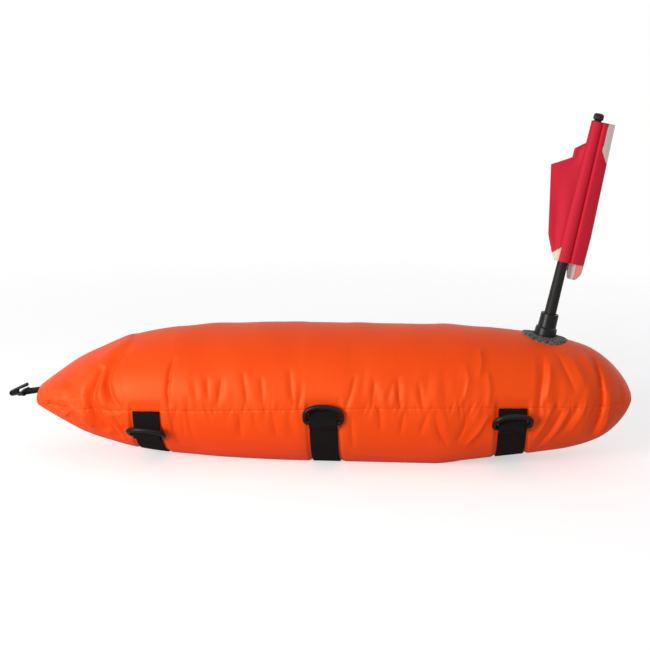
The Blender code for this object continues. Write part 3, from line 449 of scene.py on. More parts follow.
# %% Creases
# depth in mm (negative is inwards), width in mm towards the bow and towards the stern, then the line
CREASES = (
    (-12.0, 8, 3.2, ((-313, 44), (-320, 26), (-324, 10), (-321, -3), (-314, -20), (-306, -36))),
    (-2.0, 3, 3, ((-322, -3), (-304, -6), (-286, -8))),
    (-5.5, 6, 2.4, ((-308, -15), (-300, -28), (-289, -44))),
    (-3.4, 5, 2.4, ((-294, -12), (-286, -28), (-276, -46))),
    (-10.0, 8, 2.8, ((-262, 68), (-277, 58), (-291, 50), (-301, 38), (-303, 24), (-297, 8), (-282, -6))),
    (-4.0, 5, 3, ((-244, 66), (-262, 60), (-269, 48), (-269, 36))),
    (-4.6, 5, 2.4, ((-211, 44), (-217, 30), (-219, 12), (-215, -1))),
    (-1.6, 4, 3, ((-213, -4), (-213, -26), (-205, -46))),
    (-1.4, 3, 3, ((-199, -4), (-198, -30))),
    (-1.2, 4, 3, ((-190, 12), (-192, -8), (-188, -22))),
    (4.4, 6, 3, ((-374, -30), (-366, -18), (-354, -6))),
    (4.4, 3, 6, ((-354, -6), (-342, -18), (-330, -34))),
    (-4.0, 4, 4, ((-398, -8), (-378, -12), (-358, -8))),
    (-4.0, 10, 6, ((-364, 44), (-358, 24), (-354, 8))),
    (-2.0, 5, 6, ((-384, 26), (-376, 8))),
    (-3.2, 11, 8, ((-262, 100), (-267, 84), (-274, 70))),
    (-1.6, 8, 6, ((-240, 98), (-236, 80), (-234, 62))),
    (1.9, 5, 3, ((180, 38), (184, 25), (180, 13), (169, 0))),
    (1.8, 4, 4, ((198, 56), (201, 39), (197, 26))),
    (2.4, 4, 4, ((209, 32), (214, 17), (210, 1))),
    (1.6, 3, 4, ((225, 46), (225, 22))),
    (1.4, 3, 3, ((239, 26), (238, 8))),
    (1.4, 3, 3, ((250, 36), (252, 14))),
    (3.4, 4, 5, ((262, 54), (266, 34), (263, 8))),
    (-3.4, 7, 2.6, ((284, 52), (283, 30), (279, 9), (277, -16))),
    (3.2, 3, 6, ((292, 46), (291, 26), (287, 6))),
    (-2.6, 4, 4, ((300, 62), (313, 38), (327, 14))),
    (1.8, 4, 4, ((318, 60), (330, 40), (340, 22))),
    (3.6, 5, 3, ((334, 68), (348, 52), (354, 38), (355, 22))),
    (-7.0, 9, 2.4, ((352, 66), (360, 40), (363, 20), (363, 0), (360, -18), (352, -44))),
    (3.4, 4, 7, ((371, 26), (374, 4), (370, -22), (360, -46))),
    (2.8, 5, 5, ((357, -58), (374, -32), (384, -12))),
    (2.6, 4, 3, ((212, -4), (198, -21), (180, -36))),
    (-2.0, 4, 3, ((182, 0), (180, -14), (170, -30))),
    (2.4, 4, 3, ((266, -42), (284, -18), (298, 6))),
    (-2.4, 4, 3, ((276, -50), (296, -24), (310, -2))),
    (2.2, 4, 3, ((292, -40), (308, -18), (322, 4))),
    (-1.8, 4, 3, ((306, -34), (320, -14), (332, 6))),
    (1.8, 4, 3, ((320, -30), (334, -8), (342, 8))),
    (-3.0, 7, 6, ((384, 44), (390, 20), (388, -6))),
    (-2.0, 4, 2.6, ((-117, 30), (-112, 12), (-110, -2))),
    (-1.6, 4, 3, ((-166, 26), (-162, 4))),
    (-1.6, 3, 3, ((-146, 24), (-150, 0))),
    (-1.8, 4, 3, ((-92, 26), (-88, 2))),
    (-2.2, 4, 2.6, ((-54, 32), (-51, 16), (-47, 2))),
    (-2.4, 4, 3, ((-31, 26), (-36, 12), (-43, 0))),
    (-2.4, 3, 4, ((34, 28), (28, 12), (20, 0))),
    (-1.8, 4, 3, ((60, 24), (56, 2))),
    (-2.0, 4, 3, ((-121, -2), (-120, -30))),
    (-1.6, 4, 3, ((-76, -2), (-72, -26))),
    (-1.8, 4, 3, ((29, -4), (31, -38))),
    (-2.0, 3, 3, ((90, 28), (92, 12), (95, 1))),
    (-1.6, 3, 3, ((67, 1), (69, -18))),
    (-1.6, 3, 3, ((100, 0), (94, -22))),
    (-2.0, 4, 3, ((118, 24), (124, 2))),
    (-2.4, 4, 4, ((138, 0), (146, -18), (158, -34))),
    (-1.6, 3, 3, ((131, 0), (120, -22))),
)
ROOM_MIDDLE, ROOM_END, ROOM_CHANGE = 0.0046, 0.0076, (0.150, 0.330)
SWELL, SWELL_WIDTH, SWELL_OUT, SWELL_SPREAD = 0.35, 0.009, 2.2, 1.3
FAR_SHIFT, FAR_DEPTH, FAR_TURN, FAR_SQUEEZE = (-14, 14), (0.55, 1.0), (0.8, 1.1), 0.985


def crease_relief(x, angle, line, low_side, high_side):
    """Height of one crease: exp(-(d/w) to the 1.15) - swell exp(-((d/w - 2.2) / 1.3) squared).

    d is the distance from the line on the unrolled hull, and w the width on that side of it. A wide
    side swells more. The crease fades out towards the line's two ends.
    """
    corners = np.array(line, float) * (MM, math.pi / 180)
    scale = half_size(corners[:, 0], "tall")
    corners[:, 1] *= scale
    here = np.stack([x, angle * half_size(x, "tall")], -1)
    nearest, side, travelled = np.full(x.shape, np.inf), np.zeros(x.shape), np.zeros(x.shape)
    lengths = np.linalg.norm(np.diff(corners, axis=0), axis=1)
    for index, length in enumerate(lengths):
        start, way = corners[index], (corners[index + 1] - corners[index]) / length
        along = np.clip((here - start) @ way, 0, length)
        off = here - start - along[..., None] * way
        distance = np.hypot(off[..., 0], off[..., 1])
        closer = distance < nearest
        nearest = np.where(closer, distance, nearest)
        side = np.where(closer, off[..., 0], side)
        travelled = np.where(closer, (lengths[:index].sum() + along) / lengths.sum(), travelled)
    width = np.where(side < 0, low_side, high_side) * MM
    share = nearest / width
    swell = SWELL * np.clip(width / SWELL_WIDTH, 0, 1) ** 1.5
    profile = np.exp(-(share**1.15)) - swell * np.exp(-(((share - SWELL_OUT) / SWELL_SPREAD) ** 2))
    return profile * np.clip(4 * travelled * (1 - travelled), 0, 1) ** 0.6


def folds(x, angle):
    """All creases of both sides together, in metres, no deeper than the room over the bladder."""
    height = np.zeros(x.shape)
    random = np.random.default_rng(7)
    near = (angle + math.pi) % (2 * math.pi) - math.pi
    far = (2 * math.pi - angle) % (2 * math.pi) - math.pi
    for depth, low_side, high_side, line in CREASES:
        height += depth * crease_relief(x, near, line, low_side, high_side)
        shift, change = random.uniform(*FAR_SHIFT), random.uniform(*FAR_DEPTH)
        moved_line = [(FAR_SQUEEZE * along + shift, turn * random.uniform(*FAR_TURN)) for along, turn in line]
        height += change * depth * crease_relief(x, far, moved_line, low_side, high_side)
    height *= MM
    room = ROOM_MIDDLE + (ROOM_END - ROOM_MIDDLE) * smooth_step(np.abs(x), *ROOM_CHANGE)
    return np.where(height < 0, held(height, room), height)


print(len(CREASES), "creases on each side")

# %% [markdown]
# ## Puckers, grooves and slow waves
# Along the whole seam the stitches draw the cloth into small puckers, a few millimetres long. Among
# them are fewer and longer ones, which reach 15 to 25 mm over the cloth with a low ridge on each
# side. Real ones come at no fixed spacing, so their places and sizes are random, from a fixed seed.

# %% Puckers
SMALL_SPACING, LONG_SPACING = 0.0078, 0.0165


def puckers(x, up):
    """Dents across the seam, in metres: depth exp(-(d/w) squared) exp(-(up/reach) squared), and long ones.

    The long ones are depth (exp(-(d/w) to the 1.4) - 0.5 exp(-(d/w - 2) squared)), with the same
    fading from their own middle height. d is the distance from a leaning line.
    """
    random = np.random.default_rng(21)
    height = np.zeros(x.shape)
    for place in np.arange(-0.405, 0.395, SMALL_SPACING):
        place += random.uniform(-0.003, 0.003)
        depth, wide = random.uniform(0.15, 0.75) * MM, random.uniform(0.0014, 0.0034)
        lean, reach = random.uniform(-0.5, 0.5), random.uniform(0.004, 0.014)
        depth *= 1 + 1.2 * abs(place) / 0.4
        height -= depth * np.exp(-(((x - place - lean * up) / wide) ** 2)) * np.exp(-((up / reach) ** 2))
    for place in np.arange(-0.385, 0.375, LONG_SPACING):
        place += random.uniform(-0.007, 0.007)
        depth, wide = random.uniform(0.35, 1.1) * MM, random.uniform(0.0035, 0.0065)
        lean, reach = random.uniform(-0.3, 0.3), random.uniform(0.014, 0.026)
        middle = random.uniform(-0.03, 0.035)
        off = np.abs(x - place - lean * up) / wide
        profile = np.exp(-(off**1.4)) - 0.5 * np.exp(-((off - 2.0) ** 2))
        height -= depth * profile * np.exp(-(((up - middle) / reach) ** 2))
    return height


print("a small pucker every", 1000 * SMALL_SPACING, "mm, a long one every", 1000 * LONG_SPACING, "mm")

# %% [markdown]
# The seam itself is a narrow groove where both panels turn inwards. Over all of the cover the cloth
# rises and sinks by half a millimetre, in waves 65 to 100 mm long. On the far side the zip lies in
# a slot of its own. The relief dies away where the cloth is held: under the straps, on the ground,
# at the blunt ends and round the pole's patch.

# %% The cloth's relief
ZIP_START, ZIP_END, ZIP_ANGLE = -0.055, 0.135, math.radians(130.0)
ZIP_HALF, ZIP_DEPTH, ZIP_BLEND = 0.0052, 0.0036, 0.001
SOCKET_X, SOCKET_CALM = 0.2885, 0.05
BESIDE_STRAP, OVER_GROUND, BOW_CALM, STERN_CALM = (0.023, 0.036), (0.006, 0.034), 0.018, 0.014
GROOVE_DEPTH, GROOVE_HALF = 0.0006, 0.0011
SLOT_WALL, BESIDE_ZIP = (ZIP_HALF - 0.0004, ZIP_HALF + 0.0006), (0.008, 0.020)
LONG_WAVE, SHORT_WAVE = 0.0004, 0.0003


def relief(x, angle):
    """How far the cloth stands out of the hull's plain lines: folds + waves + puckers - grooves - beds."""
    up = above_seam(x, angle) * half_size(x, "tall")
    slow = LONG_WAVE * np.sin(x * 61 + 2.3 * np.sin(angle * 2)) + SHORT_WAVE * np.sin(x * 97 + angle * 3)
    height = folds(x, angle) + slow + puckers(x, up)
    for place, _, _ in STRAPS.values():
        height = height * smooth_step(np.abs(x - place), *BESIDE_STRAP)
    height *= smooth_step(skin(x, angle)[..., 2], *OVER_GROUND)
    height *= smooth_step(x, -BOW_REACH, BOW_CALM - BOW_REACH)
    height *= 1 - smooth_step(x, STERN_REACH - STERN_CALM, STERN_REACH)
    beside = np.hypot(x - SOCKET_X, (angle - TOP) * half_size(x, "wide")) / SOCKET_CALM
    height *= smooth_step(beside, 0.75, 1.2)
    groove = GROOVE_DEPTH * np.exp(-((up / GROOVE_HALF) ** 2))
    off_zip = np.abs(angle - ZIP_ANGLE) * half_size(x, "tall")
    in_zip = smooth_step(x, ZIP_START - ZIP_BLEND, ZIP_START + ZIP_BLEND)
    in_zip = in_zip * (1 - smooth_step(x, ZIP_END - ZIP_BLEND, ZIP_END + ZIP_BLEND))
    slot = ZIP_DEPTH * in_zip * (1 - smooth_step(off_zip, *SLOT_WALL))
    height *= smooth_step(off_zip, *BESIDE_ZIP) * in_zip + 1 - in_zip
    return height - groove - slot - strap_bed(x, angle)


print("zip slot", round(1000 * (ZIP_END - ZIP_START)), "mm long,", round(2000 * ZIP_HALF, 1), "mm wide")

# %% [markdown]
# ## The two panels
# Each panel is one grid: rows along the hull, columns from the near seam to the far one, closer
# together at the seams. The rows at the blunt ends draw together to the straight seam across the
# end. The panel's edges turn inwards at the seam, so nothing shows behind it.

# %% The cover
NOSE_STEP, NOSE_SEAM, CLOSING_ROWS = 0.0008, 0.78, 8
ROWS, COLUMNS, ZIP_COLUMNS, ZIP_BAND = 600, 116, 22, 0.027
SEAM_CELLS = np.array([0, 0.5, 1.0, 1.6, 2.4, 3.5, 5.0, 7.0]) / 302
FIRST_COLUMN = 0.031


def panel(upper):
    """One panel: skin(x, seam + turn share) moved out by the relief, with its blunt ends closed.

    The upper one has more columns where the zip's slot is, so that the slot's walls are steep.
    """
    x = np.linspace(NOSE_STEP - BOW_REACH, STERN_REACH - NOSE_STEP, ROWS)
    middle = np.linspace(FIRST_COLUMN, 1 - FIRST_COLUMN, COLUMNS)
    if upper:
        seam = seam_angle((ZIP_START + ZIP_END) / 2)
        zip_share = (ZIP_ANGLE - seam) / (math.pi - 2 * seam)
        middle = np.sort(np.append(middle, zip_share + np.linspace(-ZIP_BAND, ZIP_BAND, ZIP_COLUMNS)))
    share = np.concatenate([SEAM_CELLS, middle, 1 - SEAM_CELLS[::-1]])
    x, share = np.meshgrid(x, share, indexing="ij")
    start = seam_angle(x)
    turn = math.pi - 2 * start if upper else -math.pi - 2 * start
    angle = start + turn * share
    points = skin(x, angle, relief(x, angle))
    flat = np.stack([x, (angle - start) * half_size(x, "tall")], -1)
    closing = np.sin(np.linspace(0, TOP, CLOSING_ROWS + 1)[1:])[:, None, None]
    for row, way in ((0, -1), (-1, 1)):
        end, level = points[row], seam_height(x[row, 0])
        width = NOSE_SEAM * end[0, 1] * (1 - 2 * share[row])
        straight = np.stack([end[:, 0], width, np.full_like(width, level)], -1)
        drawn = straight + (end - straight) * np.sqrt(1 - np.minimum(closing, 1) ** 2)
        drawn[..., 0] = end[:, 0] + way * NOSE_STEP * closing[..., 0]
        repeat = np.broadcast_to(flat[row], (CLOSING_ROWS, *flat[row].shape))
        if way < 0:
            points, flat = np.concatenate([drawn[::-1], points]), np.concatenate([repeat, flat])
        else:
            points, flat = np.concatenate([points, drawn]), np.concatenate([flat, repeat])
    return points, flat


for name, upper in (("top", True), ("bottom", False)):
    points, flat = panel(upper)
    open_grid = {"loop": (False, False), "flat": flat, "sharp": 60}
    piece(f"nylon_panel_{name}", [points], orange_nylon, "nylon", stands_for=[f"cover_{name}"], **open_grid)

# %% [markdown]
# ## Thread of the seam
# The seam is sewn with a bonded thread, with a row of stitches above it and one below, one stitch
# every 4 mm. A stitch is a small ellipsoid, sunk a little into the cloth. There are hundreds, so
# each has only 24 faces.

# %% Stitches
STITCH_SPACING, STITCH_LENGTH, STITCH_RADIUS, STITCH_SINK = 0.0042, 0.0025, 0.00032, 0.0001
ROW_OFF_SEAM, CLEAR_OF_STRAP = 0.0026, 0.021
thread_orange, tree, shader = new_material("bonded_thread_orange", "#E04414", 0.6)
place = node(tree, "TexCoord").outputs["Object"]
fibre = node(tree, "TexNoise", {"Vector": place, "Scale": grains(0.001111)}).outputs["Fac"]
tree.links.new(mixed(tree, fibre, "#D23A0E", "#EE5420"), shader.inputs["Base Color"])
raised(tree, shader, fibre, 0.0001)


def stitches(centre, along, out, length, radius):
    """Ellipsoids: centre + along cos a + (side cos b + out sin b) sin a, for every centre."""
    side = np.cross(out, along)
    a, b = np.meshgrid(np.linspace(0, math.pi, 5), np.arange(6) * math.pi / 3, indexing="ij")
    parts = [length / 2 * np.cos(a), radius * np.sin(a) * np.cos(b), radius * np.sin(a) * np.sin(b)]
    ways = [along, side, out]
    return centre[:, None, None] + sum(p[..., None] * way[:, None, None] for p, way in zip(parts, ways))


def on_cloth(x, angle, out=0.0):
    """A point on the cloth with its relief, with the directions along the hull and out of it."""
    along, normal = directions(x, angle)
    return skin(x, angle, relief(x, angle) + out), along, normal


x = np.arange(-0.408, 0.400, STITCH_SPACING)
x = x[np.min([np.abs(x - place) for place, _, _ in STRAPS.values()], 0) > CLEAR_OF_STRAP]
rows = []
for below in (ROW_OFF_SEAM, -ROW_OFF_SEAM):
    for far in (False, True):
        angle = seam_angle(x) - below / half_size(x, "tall")
        spots = on_cloth(x, math.pi - angle if far else angle, -STITCH_SINK)
        rows.append(stitches(*spots, STITCH_LENGTH, STITCH_RADIUS))
piece("seam_thread", [np.concatenate(rows)], thread_orange, "nylon")

# %% [markdown]
# ## Webbing
# The straps are woven polyester webbing, 38 mm wide, the kind used on packs. Its black yarns make
# flat ribs along the band, crossed by the weft, so it is matte, with a faint grid in a low light.
# The real ribs are 1.2 mm wide, and are drawn at 2 mm to show.

# %% Black webbing
RIB, WEFT = 0.0020, 0.0013
webbing, tree, shader = new_material("woven_polyester_webbing", "#151311", 0.85)
shader.inputs["Specular IOR Level"].default_value = 0.12
ribs = woven(tree, RIB, WEFT)
tree.links.new(mixed(tree, ribs, "#0F0D0C", "#221F1C"), shader.inputs["Base Color"])
raised(tree, shader, ribs, 0.0004)


def band_outline(width, thick, cells=14):
    """Section of a band, anticlockwise: two flat faces, and edges of half a circle."""
    half = thick / 2
    turn = np.radians(np.linspace(-90, 90, 7))
    edge = np.stack([width / 2 - half + half * np.cos(turn), half * np.sin(turn)], -1)
    inner = np.linspace(width / 2 - half, half - width / 2, cells + 1)[1:-1]
    top = np.stack([inner, np.full_like(inner, half)], -1)
    return np.concatenate([edge, top, -edge, -top])


print("webbing ribs drawn", 1000 * RIB, "mm apart")

# %% [markdown]
# ## Straps and D-rings
# Each strap runs under the belly from seam to seam. Just below the seam it is sewn in a loop over
# the straight bar of a moulded D-ring, which hangs in it and can swing. The strap's height over
# the hull is the bed's floor plus a smooth hump where it passes over the bar.

# %% Straps
RING_ROD, GAP = 0.0033, 0.0003
BAR_HEIGHT = RING_ROD + GAP
LOOP_HEIGHT, LOOP_SPREAD = BAR_HEIGHT + RING_ROD + GAP, 0.0085


def bar_angle(place, below):
    """Angle round the hull of a D-ring's bar: the seam's angle less its distance below the seam."""
    return float(seam_angle(place)) - below / float(half_size(place, "tall"))


def strap(place, below, rows=260):
    """A band carried round the hull: skin(x, angle, height), and its flat length and width."""
    radius = float(half_size(place, "tall"))
    seam = float(seam_angle(place))
    around = (math.pi + 2 * seam) * radius
    bar = (seam - bar_angle(place, below)) * radius
    length = np.linspace(GAP, around - GAP, rows)[:, None]
    away = np.minimum(length, around - length) - bar
    lift = (LOOP_HEIGHT + STRAP_BED) * np.exp(-np.abs(away / LOOP_SPREAD) ** 2.6)
    outline = band_outline(WEBBING, WEBBING_WALL)
    x = place + outline[:, 0] + 0 * length
    start = seam_angle(x)
    angle = start + (-math.pi - 2 * start) * length / around
    out = BAR_ROOM + lift + WEBBING_WALL / 2 + outline[:, 1]
    points = skin(x, angle, out - strap_bed(x, angle))
    flat = np.stack([outline[:, 0] + 0 * length, length + 0 * outline[:, 0]], -1)
    return capped(points), np.concatenate([flat[:1], flat, flat[-1:]])


for name, (place, below, _) in STRAPS.items():
    points, flat = strap(place, below)
    piece(f"webbing_strap_{name}", [points], webbing, "webbing", stands_for=[f"strap_{name}"], flat=flat)

# %% [markdown]
# The D-rings are injection-moulded acetal, a hard plastic with a fine spark-eroded grain from the
# mould, drawn 0.7 mm wide. It looks near black, with soft highlights along its round rod. The
# rod is a circle carried along the ring's outline, with the thin parting line that the two halves of
# a mould leave.

# %% Black acetal
def moulded(name, dark, light, rough):
    """Moulded plastic: a fine even grain, a little unevenness of gloss, and almost no colour."""
    made, tree, shader = new_material(name, dark, rough)
    shader.inputs["Specular IOR Level"].default_value = 0.22
    place = node(tree, "TexCoord").outputs["Object"]
    grain = node(tree, "TexNoise", {"Vector": place, "Scale": grains(0.000714), "Detail": 2.0}).outputs["Fac"]
    slow = node(tree, "TexNoise", {"Vector": place, "Scale": grains(0.0111), "Detail": 3.0}).outputs["Fac"]
    tree.links.new(mixed(tree, slow, dark, light), shader.inputs["Base Color"])
    gloss = node(tree, "MapRange", {"Value": slow, "To Min": rough - 0.07, "To Max": rough + 0.1})
    tree.links.new(gloss.outputs["Result"], shader.inputs["Roughness"])
    raised(tree, shader, grain, 0.00005, 0.6)
    return made


acetal = moulded("moulded_acetal_black", "#0B0B0C", "#131314", 0.32)
print("plastic:", acetal.name)

# %% D-rings
RING_WIDTH, RING_REACH, RING_SIDE, RING_CORNER = 0.055, 0.0235, 0.0105, 0.0040
PARTING_RISE, PARTING_WIDTH = 0.035, 0.12


def ring_line():
    """The D-ring's centre line: a straight bar at y = 0, round corners, short sides and a low arch."""
    half = RING_WIDTH / 2 - RING_ROD
    right = arc((half - RING_CORNER, RING_CORNER), RING_CORNER, -90, 0, 8)
    over = np.linspace(0, math.pi, 41)
    rise = (RING_REACH - RING_SIDE) * np.sin(over)
    arch = np.stack([half * squarer(np.cos(over), 0.9), RING_SIDE + rise], -1)
    bar = np.linspace(RING_CORNER - half, half - RING_CORNER, 14)[1:-1]
    bar = np.stack([bar, 0 * bar], -1)
    return np.concatenate([right, arch, right[::-1] * (-1, 1), bar])


def closed_rod(line, radius, matrix, sides=20):
    """A rod round a closed flat line: line + radius (normal cos b + Z sin b), with a parting line."""
    ahead = np.roll(line, -1, 0) - np.roll(line, 1, 0)
    ahead /= np.linalg.norm(ahead, axis=1, keepdims=True)
    normal = np.stack([ahead[:, 1], -ahead[:, 0], 0 * ahead[:, 0]], -1)
    b = np.linspace(0, 2 * math.pi, sides, endpoint=False)
    size = radius * (1 + PARTING_RISE * np.exp(-((np.sin(b) / PARTING_WIDTH) ** 2)))
    outline = np.stack([size * np.cos(b), size * np.sin(b)], -1)
    path = np.concatenate([line, 0 * line[:, :1]], -1)
    up = np.broadcast_to([0.0, 0.0, 1.0], path.shape)
    return placed(matrix, carried(path, normal, up, outline))


def ring_frame(place, below, lean, far):
    """A D-ring's frame: origin on its bar, X along the bar, Y towards the arch, Z outwards."""
    angle = bar_angle(place, below)
    matrix = skin_frame(place, math.pi - angle if far else angle, BAR_HEIGHT)
    x_way, y_way, z_way = matrix[:3, 0], matrix[:3, 1], matrix[:3, 2]
    if far:
        x_way, y_way = -x_way, -y_way
    cos, sin = math.cos(math.radians(lean)), math.sin(math.radians(lean))
    return flat_frame(matrix[:3, 3], x_way, cos * y_way + sin * z_way)


for name, (place, below, lean) in STRAPS.items():
    for side in ("near", "far"):
        rod = closed_rod(ring_line(), RING_ROD, ring_frame(place, below, lean, side == "far"))
        made = f"ring_{name}_{side}"
        piece("acetal_d_" + made, [rod], acetal, "black_plastic", made, [f"d_{made}"], loop=(True, True))

# %% [markdown]
# ## Tow loop and hook
# A 25 mm webbing loop comes out of the bow, goes round the hook's bar and back. It is a band carried
# along a line of two straights and an arc, with points about a millimetre apart.

# %% Tow loop
TAB_WIDTH, TAB_DROP, TAB_LEVEL, TAB_INSIDE = 0.025, math.radians(9.0), -0.0060, 0.010
EYE_OUT, EYE_ROD, EYE_LENGTH, LOOP_WALL = 0.0240, 0.0018, 0.0065, 0.0015
cos, sin = math.cos(TAB_DROP), math.sin(TAB_DROP)
tow = flat_frame((-BOW_REACH, 0, AXIS_HEIGHT + TAB_LEVEL), (-cos, 0, -sin), (-sin, 0, cos))
round_bar = arc((EYE_OUT, 0), EYE_ROD + GAP + LOOP_WALL / 2, 155, -155, 25)
line = np.concatenate([[(-TAB_INSIDE, LOOP_WALL / 2)], round_bar, [(-TAB_INSIDE, -LOOP_WALL / 2)]])
steps = way_along(line)
along = np.unique(np.concatenate([np.linspace(0, steps[-1], 90), steps]))
line = np.stack([np.interp(along, steps, line[:, 0]), np.interp(along, steps, line[:, 1])], -1)


def flat_path(line, matrix, outline):
    """A section along a flat line in the frame's XY plane. Its first axis lies along the frame's Z."""
    ahead = np.gradient(line, axis=0)
    ahead /= np.linalg.norm(ahead, axis=1, keepdims=True)
    up = np.stack([-ahead[:, 1], ahead[:, 0], 0 * ahead[:, 0]], -1)
    path = np.concatenate([line, 0 * line[:, :1]], -1)
    across = np.broadcast_to([0.0, 0.0, 1.0], path.shape)
    return placed(matrix, carried(path, across, up, outline))


outline = band_outline(TAB_WIDTH, LOOP_WALL, 10)
points = capped(flat_path(line, tow, outline))
along = np.concatenate([along[:1], along, along[-1:]])[:, None]
flat = np.stack([outline[:, 0] + 0 * along, along + 0 * outline[:, 0]], -1)
piece("webbing_tow_loop", [points], webbing, "webbing", stands_for=["tow_loop"], flat=flat)

# %% [markdown]
# The hook is moulded acetal: an oblong eye, a shank, a nose, a springy arm that comes back over the
# shank and thickens to its tip, and a thin web between the two. The arm is a rounded rectangle
# carried along the hook's side line, drawn in at the tip, and the web is a plate inside the bend.

# %% The hook's eye
HOOK_THICK, HOOK_WIDTH, HOOK_NOSE, HOOK_BEND = 0.0032, 0.0095, 0.0195, 0.0026
HOOK_ARM, HOOK_RISE, HOOK_TIP, ARM_POINTS = 0.0270, math.radians(15.5), 0.0050, 20
WEB_SHARE, WEB_WIDTH = 0.42, 0.0060
eye = moved(tow, EYE_OUT, 0, 0)
half_eye, corner = TAB_WIDTH / 2 + 2 * GAP + EYE_ROD, 0.0022
oblong = []
near_end, far_end = corner, EYE_LENGTH - corner
for middle, side, start in ((far_end, -1, -90), (far_end, 1, 0), (near_end, 1, 90), (near_end, -1, 180)):
    oblong.append(arc((middle, side * (half_eye - corner)), corner, start, start + 90, 7))
lying = flat_frame(eye[:3, 3], eye[:3, 0], -eye[:3, 2])
rod = closed_rod(np.concatenate(oblong), EYE_ROD, lying, 16)
piece("acetal_tow_hook", [rod], acetal, "black_plastic", "hook", ["tow_hook"], loop=(True, True))

# %% The hook's arm
TIP_ROUND, SMALLEST = 0.0022, 0.0004  # length of the rounded tip, and the square of its last row's share
nose = (HOOK_NOSE, HOOK_BEND - HOOK_THICK / 2)
bend = arc(nose, HOOK_BEND, -90, 90 - math.degrees(HOOK_RISE), 22)
arm_end = bend[-1] + HOOK_ARM * np.array([-math.cos(HOOK_RISE), math.sin(HOOK_RISE)])
shank = [(EYE_LENGTH, 0), (EYE_LENGTH + 0.004, nose[1] - HOOK_BEND * 0.85)]
straight = np.linspace(bend[-1], arm_end, ARM_POINTS)[1:]
line = np.concatenate([softened([*shank, bend[0]], 0.002), bend[1:], straight])
reach = way_along(line)
from_tip = np.clip((reach[-1] - reach) / TIP_ROUND, 0, 1)
round_off = np.sqrt(np.clip(1 - (1 - from_tip) ** 2, SMALLEST, 1))
a = np.linspace(0, 2 * math.pi, 28, endpoint=False)
section = np.stack([squarer(np.cos(a), 0.55), squarer(np.sin(a), 0.55)], -1)
near_nose = np.exp(-(((reach - reach[3 - ARM_POINTS]) / 0.006) ** 2))
half_wide = HOOK_WIDTH / 2 * (0.86 + 0.14 * near_nose) * (0.5 + 0.5 * round_off)
thicker = np.clip((reach - reach[-ARM_POINTS]) / HOOK_ARM, 0, 1)
half_thick = (HOOK_THICK + (HOOK_TIP - HOOK_THICK) * thicker) / 2 * round_off
sizes = np.stack([half_wide, half_thick], -1)[:, None]
arm = capped(flat_path(line, eye, section * sizes))
piece("acetal_hook_arm", [arm], acetal, "black_plastic", "hook", ["tow_hook"])

# %% The hook's web
# share of the way from the middle to the web's edge, and share of its half width
WEB_SECTION = ((0.02, 1), (0.6, 1), (0.97, 1), (1, 0.94), (1, -0.94), (0.97, -1), (0.6, -1), (0.02, -1))
inside = bend[-1] + WEB_SHARE * (arm_end - bend[-1])
side_line = softened([shank[1], *bend, inside], 0.0004)
middle = side_line.mean(0)
section = np.array(WEB_SECTION)
web = middle + (side_line - middle) * section[:, None, :1]
web = np.concatenate([web, 0 * web[..., :1] + section[:, None, 1:] * WEB_WIDTH / 2], -1)
piece("acetal_hook_web", [placed(eye, web)], acetal, "black_plastic", "hook", ["tow_hook"])

# %% [markdown]
# ## Pole socket and its patch
# The flag's pole stands in a round moulded socket: a foot, a collar with a small notch for the
# pole's key, and a nut inside. It is round all the way up, so a profile is spun about the pole's
# axis, and the notch is pressed into the collar's rim.

# %% Socket
POLE_LEAN = math.radians(11.6)
THREAD_RADIUS, THREAD_END = 0.0085, -0.0080
FOOT_RADIUS, FOOT_TOP, COLLAR_RADIUS, COLLAR_TOP, SOCKET_LIFT = 0.0154, 0.0120, 0.0121, 0.0315, 0.0010
POLE_BOTTOM, POLE_TOP, RADIUS_LOW, RADIUS_HIGH = 0.0120, 0.2980, 0.0080, 0.0050
NOTCH_WIDTH, NOTCH_DEPTH = 0.0030, 0.0042
cos, sin = math.cos(POLE_LEAN), math.sin(POLE_LEAN)
pole_frame = flat_frame(skin(SOCKET_X, TOP), (cos, 0, -sin), (0, 1, 0))


def pole_radius(height):
    """The pole's radius: a straight taper from the collar to its top."""
    return RADIUS_LOW + (RADIUS_HIGH - RADIUS_LOW) * (height - COLLAR_TOP) / (POLE_TOP - COLLAR_TOP)


bore = pole_radius(POLE_BOTTOM) + GAP
profile = [
    (bore, POLE_BOTTOM),
    (bore, COLLAR_TOP),
    (COLLAR_RADIUS, COLLAR_TOP),
    (COLLAR_RADIUS + 0.0004, FOOT_TOP + 0.0006),
    (FOOT_RADIUS - 0.0010, FOOT_TOP - 0.0006),
    (FOOT_RADIUS, SOCKET_LIFT),
    (THREAD_RADIUS, SOCKET_LIFT),
    (THREAD_RADIUS, THREAD_END),
]
socket = turned(softened(profile, 0.0007), np.eye(4), 120)
turn = np.linspace(0, 2 * math.pi, 120, endpoint=False)
in_notch = np.abs((turn + math.pi) % (2 * math.pi) - math.pi) * COLLAR_RADIUS < NOTCH_WIDTH / 2
socket[:, in_notch, 2] = np.minimum(socket[:, in_notch, 2], COLLAR_TOP - NOTCH_DEPTH)
socket = placed(pole_frame, socket)
piece("moulded_pole_socket", [socket], acetal, "black_plastic", stands_for=["pole_socket"], sharp=50)

# %% [markdown]
# Round the foot a rubber patch is welded on the cloth. It follows the hull, and its rim is a little
# uneven where it was cut and rolled down. The rubber is matte and speckled by its pressed grain,
# whose specks are drawn about 4 mm wide to show.

